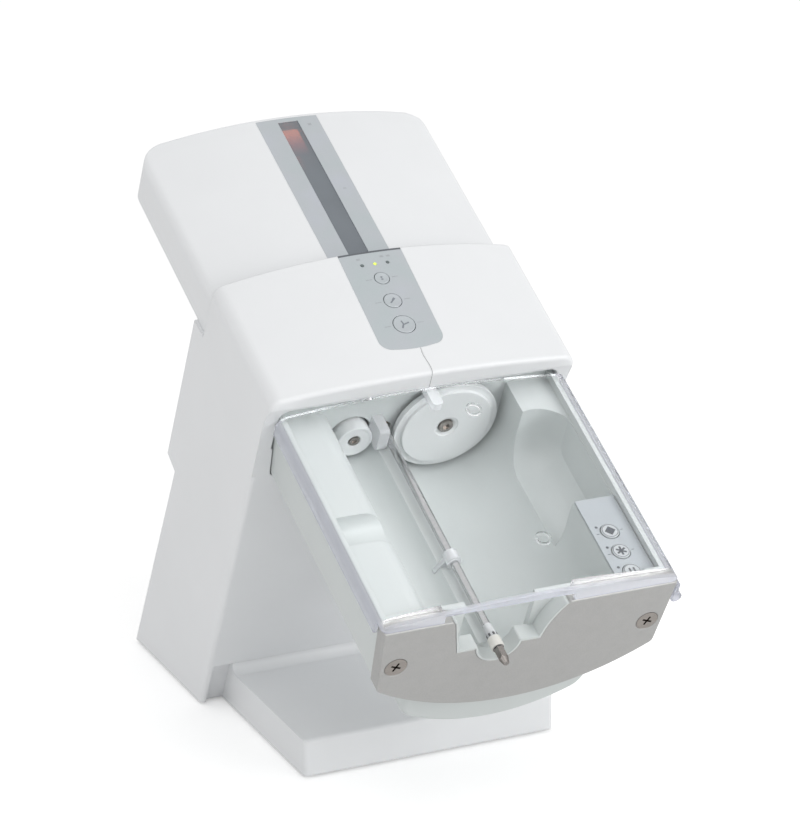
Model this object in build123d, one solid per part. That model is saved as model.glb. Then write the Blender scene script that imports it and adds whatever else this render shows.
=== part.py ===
from build123d import *
import os
from math import atan, cos, degrees, radians, sin, sqrt

os.makedirs("parts", exist_ok=True)

# A bench mixer for dental impression material, in millimetres. +Z is up and the front faces -Y.
# The head is drawn level in its own axes: x to the right, y backwards from the front edge of the
# hood, z upwards from the top edge of the hood's sides. HEAD then tips it forwards into place.

# Stance
HEAD_TILT = 26.7            # the head slopes down to the front, degrees
HEAD_RISE = 220.6           # top edge of the hood's front corners above the table
FEET_HEIGHT = 1.5

# Housing
WALL = 3.0
HOUSING_HALF = 90.5         # half width of hood and column
HOOD_LENGTH = 90.4
HOOD_CROWN_FRONT = 5.0      # rise of the hood's top between its sides
HOOD_CROWN_REAR = 11.7
HOOD_CORNER = 8.0
LIP_Z = -8.1                # lower edge of the hood's front face
COLUMN_FRONT = 4.0
COLUMN_REAR_UPPER = 104.5
COLUMN_REAR_LOWER = 91.5
COLUMN_REAR_FOOT = 96.5
COLUMN_JOG_Z = -143.0
COLUMN_DEPTH = 330.0        # drawn past the table and trimmed level
RECESS_RISE = 29.0          # the column's front is set back below this height
RECESS_DEPTH = 3.5
SEAM_X = 2.7                # where the two housing halves meet
MOUTH_HALF = 82.6           # opening that the tray comes out of
MOUTH_CORNER = 7.0

# Rear section of the head, lower and narrower than the hood
REAR_HALF = 88.5
REAR_SIDE_Z = -11.2
REAR_CROWN_Z = 0.9
REAR_END = 216.0
REAR_CORNER = 14.0
REAR_FLOOR_Z = -37.0
REAR_TUB_Z = -52.0
REAR_TUB_HALF = 60.0

# Trim strip, level window and control panel
STRIP_HALF = 18.7
STRIP_THICK = 1.2
WINDOW_HALF = 6.1
WINDOW_END = 211.5
PANEL_FRONT = 19.8
PANEL_CORNER = 7.0
PANEL_THICK = 1.0
PANEL_BUTTONS = [(36.0, 6.2), (53.5, 5.0), (70.2, 4.15)]       # place along y, radius
KEY_GAP = 0.3
PANEL_LAMPS = [-7.6, 0.0, 7.6]                                 # places along x
LAMP_Y = 81.0
LAMP_RADIUS = 0.9
PANEL_BOARD_Z = 0.0         # top face of the board under the panel
PANEL_SLOPE = degrees(atan((HOOD_CROWN_REAR - HOOD_CROWN_FRONT) / HOOD_LENGTH))
KEY_PROUD = 0.3             # keys stand this far out of the panel
KEY_DISH = 0.35             # depth of the hollow in a key's top
HOOD_EDGE = 2.5             # rounding of the hood's and column's front edges

# Foot plate, in table axes measured from the head's own origin
FOOT_HALF = 76.0
FOOT_FRONT = -2.3
FOOT_HEIGHT = 23.1
FOOT_BLEND = 6.0

# Axes of the plungers and of the mixing shaft
AXIS_Z = -41.9
BIG_X = 20.7
SMALL_X = -34.4
SHAFT_X = -14.6
FACE_Y = 0.5                # front faces of both plungers when drawn back
BIG_RADIUS = 30.6
BIG_FACE_RADIUS = 26.6
SMALL_RADIUS = 10.5
BIG_ROD_RADIUS = 5.0
SMALL_ROD_RADIUS = 4.0

# Cartridge tray
TRAY_REAR = 11.0
TRAY_WALL_FACE = 8.0        # front face of the tray's rear wall
TRAY_FRONT = -146.6
TRAY_RIM_Z = -15.5
TRAY_SHOULDER_Z = -23.0
TRAY_SKIN = 2.5
DECK_Z = -21.0
UNDER_DECK_Z = -25.0
TROUGH_RADIUS = 34.5
SMALL_TROUGH = 14.5
RIDGE_Z = -47.0             # ridge between the troughs, under the mixing shaft
TROUGH_RIGHT = 55.2
CAVITY_HALF = 79.0
CAVITY_FRONT = -143.0
SCOOP_X, SCOOP_Z, SCOOP_RADIUS = 61.0, -38.5, 19.0
SCOOP_FRONT, SCOOP_REAR = -85.0, -34.0
SCOOP_RIGHT = 78.5
GRIP_Y, GRIP_Z, GRIP_RADIUS = -78.0, -22.0, 10.0
SEAT_RADIUS = 20.0
LINER_THICK = 1.2           # lip of the tray inside the front plate's opening

# Front plate, whose outline the tray follows
PLATE_THICK = 9.0
PLATE_TOP_Z = -14.8
PLATE_TOP_HALF = 84.4
PLATE_TAPER = 0.0854        # the sides lean in by this much per millimetre of depth
PLATE_BOTTOM_Z = -85.6
PLATE_ARC = 140.8
PLATE_CORNER = 4.0
SCREW_X, SCREW_Z = 73.0, -42.6
SCREW_HEAD_RADIUS = 6.2
SCREW_SINK = 0.35           # the countersink shows as a ring round the head
PLATE_SCREW_END = -136.0

# Belly under the tray
SUPPORT_Y = -91.0
BELLY_HALF = 55.0
BELLY_FRONT = -143.5
BELLY_LOW_Z = -116.0
BELLY_ARC = 103.0
BELLY_CORNER = 14.0
BELLY_LEVEL_TO = -95.0      # the belly keeps its depth back to here, then fades out
BELLY_REAR = -40.0

# Keypad on the tray's right deck
KEY_X = 65.4
KEY_PLACES = [-140.0, -125.4, -110.6]
KEY_RADIUS = 5.0
KEYPAD_THICK = 1.5

# Lid
LID_HALF = 86.0
LID_SIDE_Z = -11.0
LID_CROWN_Z = -5.0
LID_CORNER = 7.0
LID_SKIN = 2.2
LID_REAR = -1.0
LID_FRONT = -155.2
LID_SKIRT_Z = -22.7
LID_FRONT_Z = -14.5
LUG_LEFT, LUG_RIGHT = -51.0, 24.0       # solid blocks under the lid's front edge, outside these
LUG_REAR = -147.4
LUG_WEB = 84.9              # inner face of the corner that runs down to the hinge
HINGE_X, HINGE_Z = 87.0, -28.2
KNUCKLE_RADIUS = 3.2
HINGE_PIN_RADIUS = 1.5
LID_KNUCKLES = [(-155.0, -134.0), (-86.0, -68.0), (-20.0, -3.0)]
TRAY_KNUCKLES = [(-133.5, -86.5), (-67.5, -20.5)]
LID_RINGS = [(21.6, -19.4), (20.9, -116.3)]     # small rings moulded under the lid

# Drive
CHASSIS_FRONT_Y = 12.0
CHASSIS_THICK = 3.0
MOTOR_PLATE_Y = 34.0
REAR_PLATE_Y = 203.0
GUIDE_X, GUIDE_Z, GUIDE_RADIUS = 46.0, -24.0, 4.0
SCREW_DRIVE_X, SCREW_DRIVE_Z, SCREW_DRIVE_RADIUS = 3.0, -20.0, 6.0
RUNNING_FIT = 0.08
CARRIAGE_Y0, CARRIAGE_Y1 = 184.0, 200.0
PULLEY_WIDTH = 7.0
FEED_BELT_Y, MIX_BELT_Y = 16.0, 25.5
FEED_PULLEY, MIX_PULLEY = 10.0, 9.0
FEED_MOTOR_Z, MIX_MOTOR_Z = -165.0, -100.0
MOTOR_RADIUS = 25.0
BELT_THICK = 1.6
BELT_GAP = 0.3
SHAFT_RADIUS = 2.3
SLEEVE_RADIUS = 3.6
SHAFT_TIP = -166.8
HEX_FLATS = 5.2

# Power switch
ROCKER_X, ROCKER_Y = 21.5, 102.5
ROCKER_TILT = 7.2
ROCKER_AXLE = 1.5

# The head's origin lies so that the whole machine is centred over the table's origin.
C, S = cos(radians(HEAD_TILT)), sin(radians(HEAD_TILT))


def table_y(y, z):
    """Table y of a point of the head, from the head's own origin."""
    return C * y - S * z


def head_z(y, rise):
    """Head z of the point at head y that lies at a height above the table."""
    return (rise - HEAD_RISE - S * y) / C


FRONT_MOST = table_y(LID_FRONT, LID_CROWN_Z)
REAR_FOOT_Z = head_z(COLUMN_REAR_FOOT, FEET_HEIGHT)
REAR_MOST = table_y(COLUMN_REAR_FOOT, REAR_FOOT_Z)
HEAD_Y = -(FRONT_MOST + REAR_MOST) / 2
HEAD = Location((0, HEAD_Y, HEAD_RISE), (HEAD_TILT, 0, 0))


# Plain solids in the head's axes

def block(x0, x1, y0, y1, z0, z1):
    return Pos((x0 + x1) / 2, (y0 + y1) / 2, (z0 + z1) / 2) * Box(x1 - x0, y1 - y0, z1 - z0)


def rod(x, z, radius, y0, y1):
    return Pos(x, (y0 + y1) / 2, z) * Rot(90, 0, 0) * Cylinder(radius, y1 - y0)


def post(x, y, radius, z0, z1):
    return Pos(x, y, (z0 + z1) / 2) * Cylinder(radius, z1 - z0)


def across(y, z, radius, x0, x1):
    return Pos((x0 + x1) / 2, y, z) * Rot(0, 90, 0) * Cylinder(radius, x1 - x0)


def along_y(sketch, y0, y1):
    """Sketch drawn in x and z, drawn out from y0 to y1."""
    return extrude(Plane.XZ.offset(-y1) * sketch, amount=y1 - y0)


def along_x(sketch, x0, x1):
    """Sketch drawn in y and z, drawn out from x0 to x1."""
    return extrude(Plane.YZ.offset(x0) * sketch, amount=x1 - x0)


def along_z(sketch, z0, z1):
    return extrude(Pos(0, 0, z0) * sketch, amount=z1 - z0)


def rectangle(x0, x1, y0, y1):
    return Pos((x0 + x1) / 2, (y0 + y1) / 2) * Rectangle(x1 - x0, y1 - y0)


def outline(points):
    return make_face(Polyline(*points, close=True))


def tube(x, z, outer, inner, y0, y1):
    return rod(x, z, outer, y0, y1) - rod(x, z, inner, y0 - 1, y1 + 1)


# Housing

def crowned(half, side_z, crown_z, bottom_z, corner):
    """Section in x and z with a bowed top and rounded upper corners."""
    rise = crown_z - side_z
    radius = (half**2 + rise**2) / (2 * rise)
    top = Pos(0, crown_z - radius) * Circle(radius)
    section = rectangle(-half, half, bottom_z, crown_z + 1) & top
    return fillet(section.vertices().group_by(Axis.Y)[-1], corner)


def hood_body(inset):
    """The hood's outer form, or its hollow when drawn inside by the wall."""
    half = HOUSING_HALF - inset
    front = crowned(half, -inset, HOOD_CROWN_FRONT - inset, -60, HOOD_CORNER - inset)
    rear = crowned(half, -inset, HOOD_CROWN_REAR - inset, -60, HOOD_CORNER - inset)
    y0, y1 = inset, HOOD_LENGTH - inset
    return loft([Plane.XZ.offset(-y1) * rear.face(), Plane.XZ.offset(-y0) * front.face()], ruled=True)


def hood_skin(thick):
    """Layer under the hood's outer face."""
    return hood_body(0) - Pos(0, 0, -thick) * hood_body(0)


def soft_hood():
    """The hood's outer form with its front edge rounded."""
    body = hood_body(0)
    rim = body.faces().sort_by(Axis.Y)[0].outer_wire().edges()
    return fillet([e for e in rim if e.center().Z > -50], HOOD_EDGE)


def column_body(inset):
    top = -24.0
    points = [
        (COLUMN_FRONT + inset, top),
        (HOOD_LENGTH - inset, top),
        (HOOD_LENGTH - inset, REAR_FLOOR_Z - inset),
        (COLUMN_REAR_UPPER - inset, REAR_FLOOR_Z - inset),
        (COLUMN_REAR_UPPER - inset, COLUMN_JOG_Z + inset),
        (COLUMN_REAR_LOWER - inset, COLUMN_JOG_Z - 2 + inset),
        (COLUMN_REAR_FOOT - inset, REAR_FOOT_Z),
        (COLUMN_REAR_FOOT - inset, -COLUMN_DEPTH),
        (COLUMN_FRONT + inset, -COLUMN_DEPTH),
    ]
    half = HOUSING_HALF - inset
    return along_x(outline(points), -half, half)


def soft_column():
    """The column's outer form with its front corners rounded."""
    body = column_body(0)
    corners = body.faces().sort_by(Axis.Y)[0].edges()
    return fillet([e for e in corners if abs(e.center().X) > HOUSING_HALF - 1], HOOD_EDGE)


def above_table(rise):
    """Everything of the head's axes that lies over a height above the table."""
    slab = Pos(0, HEAD_Y, rise + 300) * Box(600, 1200, 600)
    return HEAD.inverse() * slab


def below_table(rise):
    slab = Pos(0, HEAD_Y, rise - 300) * Box(600, 1200, 600)
    return HEAD.inverse() * slab


def side_brow():
    """Cuts the side walls' front edges back below the hood's lip."""
    face = make_face(
        Polyline((COLUMN_FRONT, -26), (COLUMN_FRONT, -70), (-2, -70), (-2, -6), (0, -6))
        + ThreePointArc((0, -6), (2.6, -14.5), (COLUMN_FRONT, -26))
    )
    return along_x(face, -100, 100)


def plate_outline(inset, top_z):
    """Outline in x and z of the front plate, drawn inside by the inset."""
    def half(z):
        return PLATE_TOP_HALF - inset + PLATE_TAPER * (z - PLATE_TOP_Z)
    low = -100.0
    sides = outline([(-half(top_z), top_z), (half(top_z), top_z), (half(low), low), (-half(low), low)])
    radius = PLATE_ARC - inset
    bottom = Pos(0, PLATE_BOTTOM_Z + PLATE_ARC) * Circle(radius)
    section = sides & bottom
    corners = section.vertices().group_by(Axis.Y)[0]
    return fillet(corners, PLATE_CORNER)


def panel_plan(gap=0.0):
    """Plan of the control panel: square at the rear, rounded and bowed at the front."""
    half = STRIP_HALF + 0.2 + gap
    face = make_face(
        Polyline((half, PANEL_FRONT + PANEL_CORNER), (half, HOOD_LENGTH + 1),
                 (-half, HOOD_LENGTH + 1), (-half, PANEL_FRONT + PANEL_CORNER))
        + ThreePointArc((-half, PANEL_FRONT + PANEL_CORNER),
                        (-half + 2.2, PANEL_FRONT + 2.0 - gap), (-half + PANEL_CORNER, PANEL_FRONT - gap))
        + ThreePointArc((-half + PANEL_CORNER, PANEL_FRONT - gap), (0, PANEL_FRONT - 1.2 - gap),
                        (half - PANEL_CORNER, PANEL_FRONT - gap))
        + ThreePointArc((half - PANEL_CORNER, PANEL_FRONT - gap),
                        (half - 2.2, PANEL_FRONT + 2.0 - gap), (half, PANEL_FRONT + PANEL_CORNER))
    )
    return face


def hood_top(y):
    """Height of the hood's ridge at a place along y."""
    return HOOD_CROWN_FRONT + (HOOD_CROWN_REAR - HOOD_CROWN_FRONT) * y / HOOD_LENGTH


def key_place(y):
    """Place on the hood's ridge, leaning with the panel."""
    return Pos(0, y, hood_top(y)) * Rot(PANEL_SLOPE, 0, 0)


def button_holes(extra):
    holes = [key_place(y) * post(0, 0, radius + extra, -9, 8) for y, radius in PANEL_BUTTONS]
    return holes + [post(x, LAMP_Y, LAMP_RADIUS + extra / 2, -2, 20) for x in PANEL_LAMPS]


def housing():
    """Hood and column in one, hollow, with every opening cut."""
    outer = (soft_hood() - side_brow()) + soft_column()
    hollow = hood_body(WALL) - block(-95, 95, -1, COLUMN_FRONT + WALL, -61, LIP_Z)
    hollow += column_body(WALL)
    recess = block(-HOUSING_HALF + WALL, HOUSING_HALF - WALL, -5, COLUMN_FRONT + RECESS_DEPTH,
                   -COLUMN_DEPTH, -150) & below_table(RECESS_RISE)
    recess_wall = block(-HOUSING_HALF + WALL, HOUSING_HALF - WALL, COLUMN_FRONT + RECESS_DEPTH,
                        COLUMN_FRONT + RECESS_DEPTH + WALL, -COLUMN_DEPTH, head_z(7, RECESS_RISE) + WALL)
    shell = outer - hollow + recess_wall - recess
    mouth = along_y(plate_outline(0.6, -20), -1, COLUMN_FRONT + WALL + 1)
    upper = rectangle(-MOUTH_HALF, MOUTH_HALF, -40, LIP_Z)
    upper = fillet(upper.vertices().group_by(Axis.Y)[-1], MOUTH_CORNER)
    mouth += along_y(upper, -1, COLUMN_FRONT + WALL + 1)
    throat = block(-62, 62, 80, 110, REAR_TUB_Z + 3, -3)
    back = block(-72, 72, 100, 110, -138, -58)
    shell = shell - mouth - throat - back
    shell -= hood_skin(PANEL_THICK) & along_z(panel_plan(), -20, 40)
    for hole in button_holes(KEY_GAP):
        shell -= hole
    return shell & above_table(FEET_HEIGHT)


def rear_form(inset):
    """Rear section of the head, or its hollow."""
    half = REAR_HALF - inset
    section = crowned(half, REAR_SIDE_Z - inset, REAR_CROWN_Z - inset, -80, 6.0 - inset / 2)
    long_body = along_y(section, HOOD_LENGTH, REAR_END - inset)
    plan = rectangle(-half, half, 60, REAR_END - inset)
    plan = fillet(plan.vertices().group_by(Axis.Y)[-1], REAR_CORNER - inset)
    top = REAR_CROWN_Z + 5
    end = REAR_END - inset
    side = make_face(
        Polyline((60, REAR_FLOOR_Z), (60, top), (end, top), (end, REAR_FLOOR_Z + 12))
        + ThreePointArc((end, REAR_FLOOR_Z + 12), (end - 2.2, REAR_FLOOR_Z + 3.6), (end - 8, REAR_FLOOR_Z))
        + Line((end - 8, REAR_FLOOR_Z), (60, REAR_FLOOR_Z))
    )
    return long_body & along_z(plan, -80, 20) & along_x(side, -100, 100)


def rear_skin(drop):
    """A band of the rear section's top as thick as the drop."""
    return rear_form(0) - Pos(0, 0, -drop) * rear_form(0)


def rear_cover():
    cover = rear_form(0) - rear_form(WALL)
    seat = rear_skin(STRIP_THICK) & block(-STRIP_HALF, STRIP_HALF, HOOD_LENGTH, REAR_END - 1.5, -20, 20)
    window = block(-WINDOW_HALF, WINDOW_HALF, HOOD_LENGTH, WINDOW_END, -20, 20)
    return cover - seat - window


def trim_strip():
    strip = rear_skin(STRIP_THICK) & block(-STRIP_HALF, STRIP_HALF, HOOD_LENGTH, REAR_END - 1.5, -20, 20)
    return strip - block(-WINDOW_HALF, WINDOW_HALF, HOOD_LENGTH, WINDOW_END, -20, 20)


def level_window():
    lens = rear_skin(WALL) & block(-WINDOW_HALF, WINDOW_HALF, HOOD_LENGTH, WINDOW_END, -20, 20)
    return Pos(0, 0, -0.3) * lens


def rear_floor():
    """Closes the rear section from below, with a deeper tub for the push rods."""
    floor = block(-REAR_HALF + WALL, REAR_HALF - WALL, COLUMN_REAR_UPPER, REAR_END - WALL - 11.2,
                  REAR_FLOOR_Z, REAR_FLOOR_Z + 3)
    edge = REAR_TUB_HALF
    tub = along_y(outline([(-edge, REAR_FLOOR_Z), (edge, REAR_FLOOR_Z), (edge - 4, REAR_TUB_Z),
                           (-edge + 4, REAR_TUB_Z)]), COLUMN_REAR_UPPER, REAR_PLATE_Y + 6)
    inner = edge - WALL
    hollow = along_y(outline([(-inner, REAR_FLOOR_Z + 5), (inner, REAR_FLOOR_Z + 5),
                              (inner - 4.5, REAR_TUB_Z + WALL), (-inner + 4.5, REAR_TUB_Z + WALL)]),
                     COLUMN_REAR_UPPER - 1, REAR_PLATE_Y + CHASSIS_THICK)
    return floor + tub - hollow


def control_panel():
    panel = hood_skin(PANEL_THICK) & along_z(panel_plan(), -20, 40)
    for hole in button_holes(KEY_GAP):
        panel -= hole
    return panel


def panel_button(y, radius):
    """Round key with a collar under the hood, dished on top."""
    low = PANEL_BOARD_Z + 2.1 - hood_top(y)
    key = post(0, 0, radius, low, KEY_PROUD) + post(0, 0, radius + 1.0, low, low + 1.0)
    key = fillet(key.edges().group_by(Axis.Z)[-1], 0.4)
    dish = radius - 0.8
    hollow = (dish**2 + KEY_DISH**2) / (2 * KEY_DISH)
    key -= Pos(0, 0, KEY_PROUD - KEY_DISH + hollow) * Sphere(hollow)
    return key_place(y) * key


def panel_lamps():
    return [post(x, LAMP_Y, LAMP_RADIUS, PANEL_BOARD_Z, hood_top(LAMP_Y) + 0.1) for x in PANEL_LAMPS]


def panel_board():
    """Board under the panel with one small switch per key and the pillars that carry it."""
    board = block(-32, 32, 22, 86, PANEL_BOARD_Z - 1.6, PANEL_BOARD_Z)
    for y, _ in PANEL_BUTTONS:
        board += block(-2.5, 2.5, y - 2.5, y + 2.5, PANEL_BOARD_Z, PANEL_BOARD_Z + 0.9)
    for x in (-27, 27):
        for y in (27, 81):
            board += post(x, y, 2.5, PANEL_BOARD_Z, hood_top(y) + 2) & hood_body(WALL)
    return board


# Foot and base, in table axes

def front_plane(head_y, rise):
    """Table y and z where a plane of the column's front meets a height."""
    return (HEAD_Y + table_y(head_y, head_z(head_y, rise)), rise)


def foot():
    front = HEAD_Y + FOOT_FRONT
    knee_y = front_plane(COLUMN_FRONT, FOOT_HEIGHT)[0]
    behind = COLUMN_FRONT + RECESS_DEPTH
    start = (knee_y - FOOT_BLEND * 1.6, FOOT_HEIGHT)
    end = front_plane(COLUMN_FRONT, RECESS_RISE)
    middle = (knee_y - FOOT_BLEND * 0.62, FOOT_HEIGHT + FOOT_BLEND * 0.3)
    profile = make_face(
        Polyline(end, front_plane(behind, RECESS_RISE), front_plane(behind, FEET_HEIGHT),
                 (front, FEET_HEIGHT), (front, FOOT_HEIGHT), start)
        + ThreePointArc(start, middle, end)
    )
    plate = along_x(profile, -FOOT_HALF, FOOT_HALF)
    rim = plate.edges().filter_by(Axis.X).sort_by(Axis.Y)
    upper_front = [e for e in rim if abs(e.center().Z - FOOT_HEIGHT) < 0.01][0]
    corners = [e for e in plate.edges().filter_by(Axis.Z) if e.center().Y < front + 1]
    return fillet([upper_front] + corners, 2.5)


def base_pan():
    """Floor of the column, with a boss for each of its four screws."""
    front = front_plane(COLUMN_FRONT + RECESS_DEPTH + WALL, FEET_HEIGHT)[0]
    rear = front_plane(COLUMN_REAR_FOOT - WALL, FEET_HEIGHT)[0] - 4
    half = HOUSING_HALF - WALL
    pan = block(-half, half, front, rear, FEET_HEIGHT, FEET_HEIGHT + 2.5)
    for x in (-half + 12, half - 12):
        for y in (front + 16, rear - 16):
            pan += post(x, y, 6, FEET_HEIGHT, FEET_HEIGHT + 9)
    return pan


def feet():
    front = HEAD_Y + FOOT_FRONT + 16
    rear = front_plane(COLUMN_REAR_FOOT, FEET_HEIGHT)[0] - 18
    places = [(-FOOT_HALF + 16, front), (FOOT_HALF - 16, front), (-70, rear), (70, rear)]
    return [post(x, y, 8, 0, FEET_HEIGHT) for x, y in places]


def power_supply():
    """Open-frame supply: board, transformer, heat sink and capacitor on the base pan."""
    y0, y1 = HEAD_Y + 128, HEAD_Y + 184
    floor = FEET_HEIGHT + 2.5
    unit = block(-58, 34, y0, y1, floor + 4, floor + 5.6)
    unit += block(-52, -14, y0 + 8, y0 + 46, floor + 5.6, floor + 36)
    unit += block(-6, -3, y0 + 6, y1 - 6, floor + 5.6, floor + 30)
    unit += post(16, y0 + 20, 11, floor + 5.6, floor + 32)
    for x in (-54, 30):
        for y in (y0 + 4, y1 - 4):
            unit += post(x, y, 3, floor, floor + 4)
    return unit


# Cartridge tray

def cavity_section():
    """Section in x and z of the bay: deck, small round trough, shaft ridge and big round trough."""
    small, big = SMALL_TROUGH, TROUGH_RADIUS
    drop = AXIS_Z - RIDGE_Z
    ridge_left = (SMALL_X + sqrt(small**2 - drop**2), RIDGE_Z)
    ridge_right = (BIG_X - sqrt(big**2 - drop**2), RIDGE_Z)
    shoulder, edge = (SMALL_X - small, -33.0), (SMALL_X - small - 12.0, DECK_Z)
    wall = (SMALL_X - small, AXIS_Z)
    right = (TROUGH_RIGHT, AXIS_Z)
    return make_face(
        Polyline(right, (TROUGH_RIGHT, DECK_Z), (CAVITY_HALF, DECK_Z), (CAVITY_HALF, 20),
                 (-CAVITY_HALF, 20), (-CAVITY_HALF, DECK_Z), edge)
        + ThreePointArc(edge, (SMALL_X - small - 3.6, -24.9), shoulder)
        + Line(shoulder, wall)
        + ThreePointArc(wall, (SMALL_X, AXIS_Z - small), ridge_left)
        + Line(ridge_left, ridge_right)
        + ThreePointArc(ridge_right, (BIG_X, AXIS_Z - big), right)
    )


def tray_outline():
    body = plate_outline(1.2, TRAY_SHOULDER_Z)
    return body + rectangle(-81.8, 81.8, -32, TRAY_RIM_Z)


def scoop():
    """Storage trough beside the big cartridge, round below and at its rear end."""
    section = rectangle(SCOOP_X - SCOOP_RADIUS, SCOOP_X + SCOOP_RADIUS, SCOOP_Z, 0)
    section += Pos(SCOOP_X, SCOOP_Z) * Circle(SCOOP_RADIUS)
    well = along_y(section, SCOOP_FRONT, SCOOP_REAR)
    well += Pos(SCOOP_X, SCOOP_REAR, SCOOP_Z) * Sphere(SCOOP_RADIUS)
    well += post(SCOOP_X, SCOOP_REAR, SCOOP_RADIUS, SCOOP_Z, 0)
    return well - block(SCOOP_RIGHT, 100, SCOOP_FRONT - 1, 0, -100, 10)


def seat_notch():
    """Opening in x and z that the mixing tip drops into, measured from the shaft."""
    ledge, deep = 24.2, 13.2
    left = Polyline((-ledge, -40), (-29.0, -18))
    flare = ThreePointArc((ledge, -40), (28.6, -26.5), (37, PLATE_TOP_Z + 0.4))
    top = Polyline((37, PLATE_TOP_Z + 0.4), (37, 10), (-33.5, 10), (-33.5, PLATE_TOP_Z + 0.4))
    crest = ThreePointArc((-33.5, PLATE_TOP_Z + 0.4), (-30.2, -15.6), (-29.0, -18))
    floor = Polyline((-ledge, -40), (ledge, -40))
    mouth = make_face(left + flare + top + crest + floor)
    return Pos(SHAFT_X, 0) * (mouth + Pos(0, -38.5) * Circle(deep))


def notch_liner():
    """Lip of the tray, in x and z, that lines the front plate's opening."""
    band = seat_notch() - offset(seat_notch(), -LINER_THICK)
    return band & rectangle(-60, 40, -70, PLATE_TOP_Z - 1.0)


def tray():
    """Thin moulding: bay, rear wall, front wall, deck, scoop and finger grip."""
    body = along_y(tray_outline(), TRAY_FRONT, TRAY_REAR)
    wall_top = rectangle(-81.8, 81.8, TRAY_RIM_Z - 1, -4.5)
    body += along_y(wall_top, TRAY_WALL_FACE, TRAY_REAR)
    pocket = plate_outline(1.2 + TRAY_SKIN, UNDER_DECK_Z) - offset(cavity_section(), TRAY_SKIN)
    underside = along_y(pocket, TRAY_FRONT + 3.6, TRAY_REAR + 1)
    underside -= block(41, 90, SCOOP_FRONT - 3, SCOOP_REAR + 22, -61, 0)
    underside -= block(-90, SMALL_X, GRIP_Y - 13, GRIP_Y + 13, GRIP_Z - 13, 0)
    body -= underside
    body -= along_y(cavity_section(), CAVITY_FRONT, TRAY_WALL_FACE)
    body -= scoop()
    body -= across(GRIP_Y, GRIP_Z, GRIP_RADIUS, -CAVITY_HALF + 1, SMALL_X)
    notch = rod(SHAFT_X, AXIS_Z, SEAT_RADIUS, TRAY_FRONT - 1, CAVITY_FRONT + 1)
    notch += block(SHAFT_X - SEAT_RADIUS, SHAFT_X + SEAT_RADIUS, TRAY_FRONT - 1, CAVITY_FRONT + 1, AXIS_Z, 0)
    body -= notch & along_y(cavity_section(), TRAY_FRONT - 2, CAVITY_FRONT + 2)
    body += along_y(notch_liner(), TRAY_FRONT - PLATE_THICK, TRAY_FRONT + 1)
    body -= rod(BIG_X, AXIS_Z, BIG_ROD_RADIUS + 1.5, 0, TRAY_REAR + 1)
    body -= rod(SMALL_X, AXIS_Z, SMALL_RADIUS + 1.6, 0, TRAY_REAR + 1)
    body -= rod(SHAFT_X, AXIS_Z, SHAFT_RADIUS + 2.2, 0, TRAY_REAR + 1)
    for y in KEY_PLACES:
        body -= post(KEY_X, y, KEY_RADIUS + 0.4, -30, 0)
    for x in (-SCREW_X, SCREW_X):
        body += rod(x, SCREW_Z, 5.5, TRAY_FRONT + 2, PLATE_SCREW_END + 2)
        body -= rod(x, SCREW_Z, 3.0, TRAY_FRONT - 1, PLATE_SCREW_END)
    for y0, y1 in TRAY_KNUCKLES:
        body += rod(HINGE_X, HINGE_Z, KNUCKLE_RADIUS, y0, y1)
        body += block(80.5, HINGE_X, y0, y1, HINGE_Z - KNUCKLE_RADIUS, HINGE_Z + 1)
        body -= rod(HINGE_X, HINGE_Z, HINGE_PIN_RADIUS, y0 - 0.1, y1 + 0.1)
    return body


def tray_belly():
    """Rounded fairing under the tray that fades out towards the column."""
    under = Pos(0, BELLY_LOW_Z + BELLY_ARC) * Circle(BELLY_ARC)
    section = rectangle(-BELLY_HALF, BELLY_HALF, BELLY_LOW_Z - 5, -50) & under
    section = fillet(section.vertices().group_by(Axis.Y)[0], BELLY_CORNER)
    body = along_y(section, BELLY_FRONT, BELLY_REAR)
    body = fillet(body.faces().sort_by(Axis.Y)[0].outer_wire().edges(), 4.0)
    side = outline([(BELLY_FRONT, -50), (BELLY_FRONT, BELLY_LOW_Z), (BELLY_LEVEL_TO, BELLY_LOW_Z),
                    (BELLY_REAR, -84), (BELLY_REAR, -50)])
    body &= along_x(side, -BELLY_HALF, BELLY_HALF)
    body -= along_y(plate_outline(1.2, -20), BELLY_FRONT - 1, BELLY_REAR + 1)
    inner = along_y(offset(section, -3.0), BELLY_FRONT + 3, BELLY_REAR - 4)
    inner &= along_x(Pos(-4, 4) * side, -BELLY_HALF, BELLY_HALF)
    return body - inner


def front_plate():
    plate = along_y(plate_outline(0, PLATE_TOP_Z), TRAY_FRONT - PLATE_THICK, TRAY_FRONT)
    plate -= along_y(seat_notch(), TRAY_FRONT - PLATE_THICK - 1, TRAY_FRONT + 1)
    face_y = TRAY_FRONT - PLATE_THICK
    for x in (-SCREW_X, SCREW_X):
        plate -= rod(x, SCREW_Z, 3.1, face_y - 1, TRAY_FRONT + 1)
        sink = Cone(SCREW_HEAD_RADIUS + SCREW_SINK, 3.1 + SCREW_SINK, 3.4)
        plate -= Pos(x, face_y + 1.7, SCREW_Z) * Rot(-90, 0, 0) * sink
    front_edges = plate.faces().sort_by(Axis.Y)[0].outer_wire().edges()
    return fillet(front_edges, 0.8)


def plate_screws():
    """Countersunk cross-head screws."""
    face_y = TRAY_FRONT - PLATE_THICK
    screws = []
    for x in (-SCREW_X, SCREW_X):
        head = Pos(x, face_y + 1.7, SCREW_Z) * Rot(-90, 0, 0) * Cone(SCREW_HEAD_RADIUS, 3.0, 3.4)
        screw = head + rod(x, SCREW_Z, 3.0, face_y + 3.4, PLATE_SCREW_END)
        for turn in (25, 115):
            cross = Pos(x, face_y, SCREW_Z) * Rot(0, turn, 0) * Box(6.2, 4.0, 1.2)
            screw -= cross
        screws.append(screw)
    return screws


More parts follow.
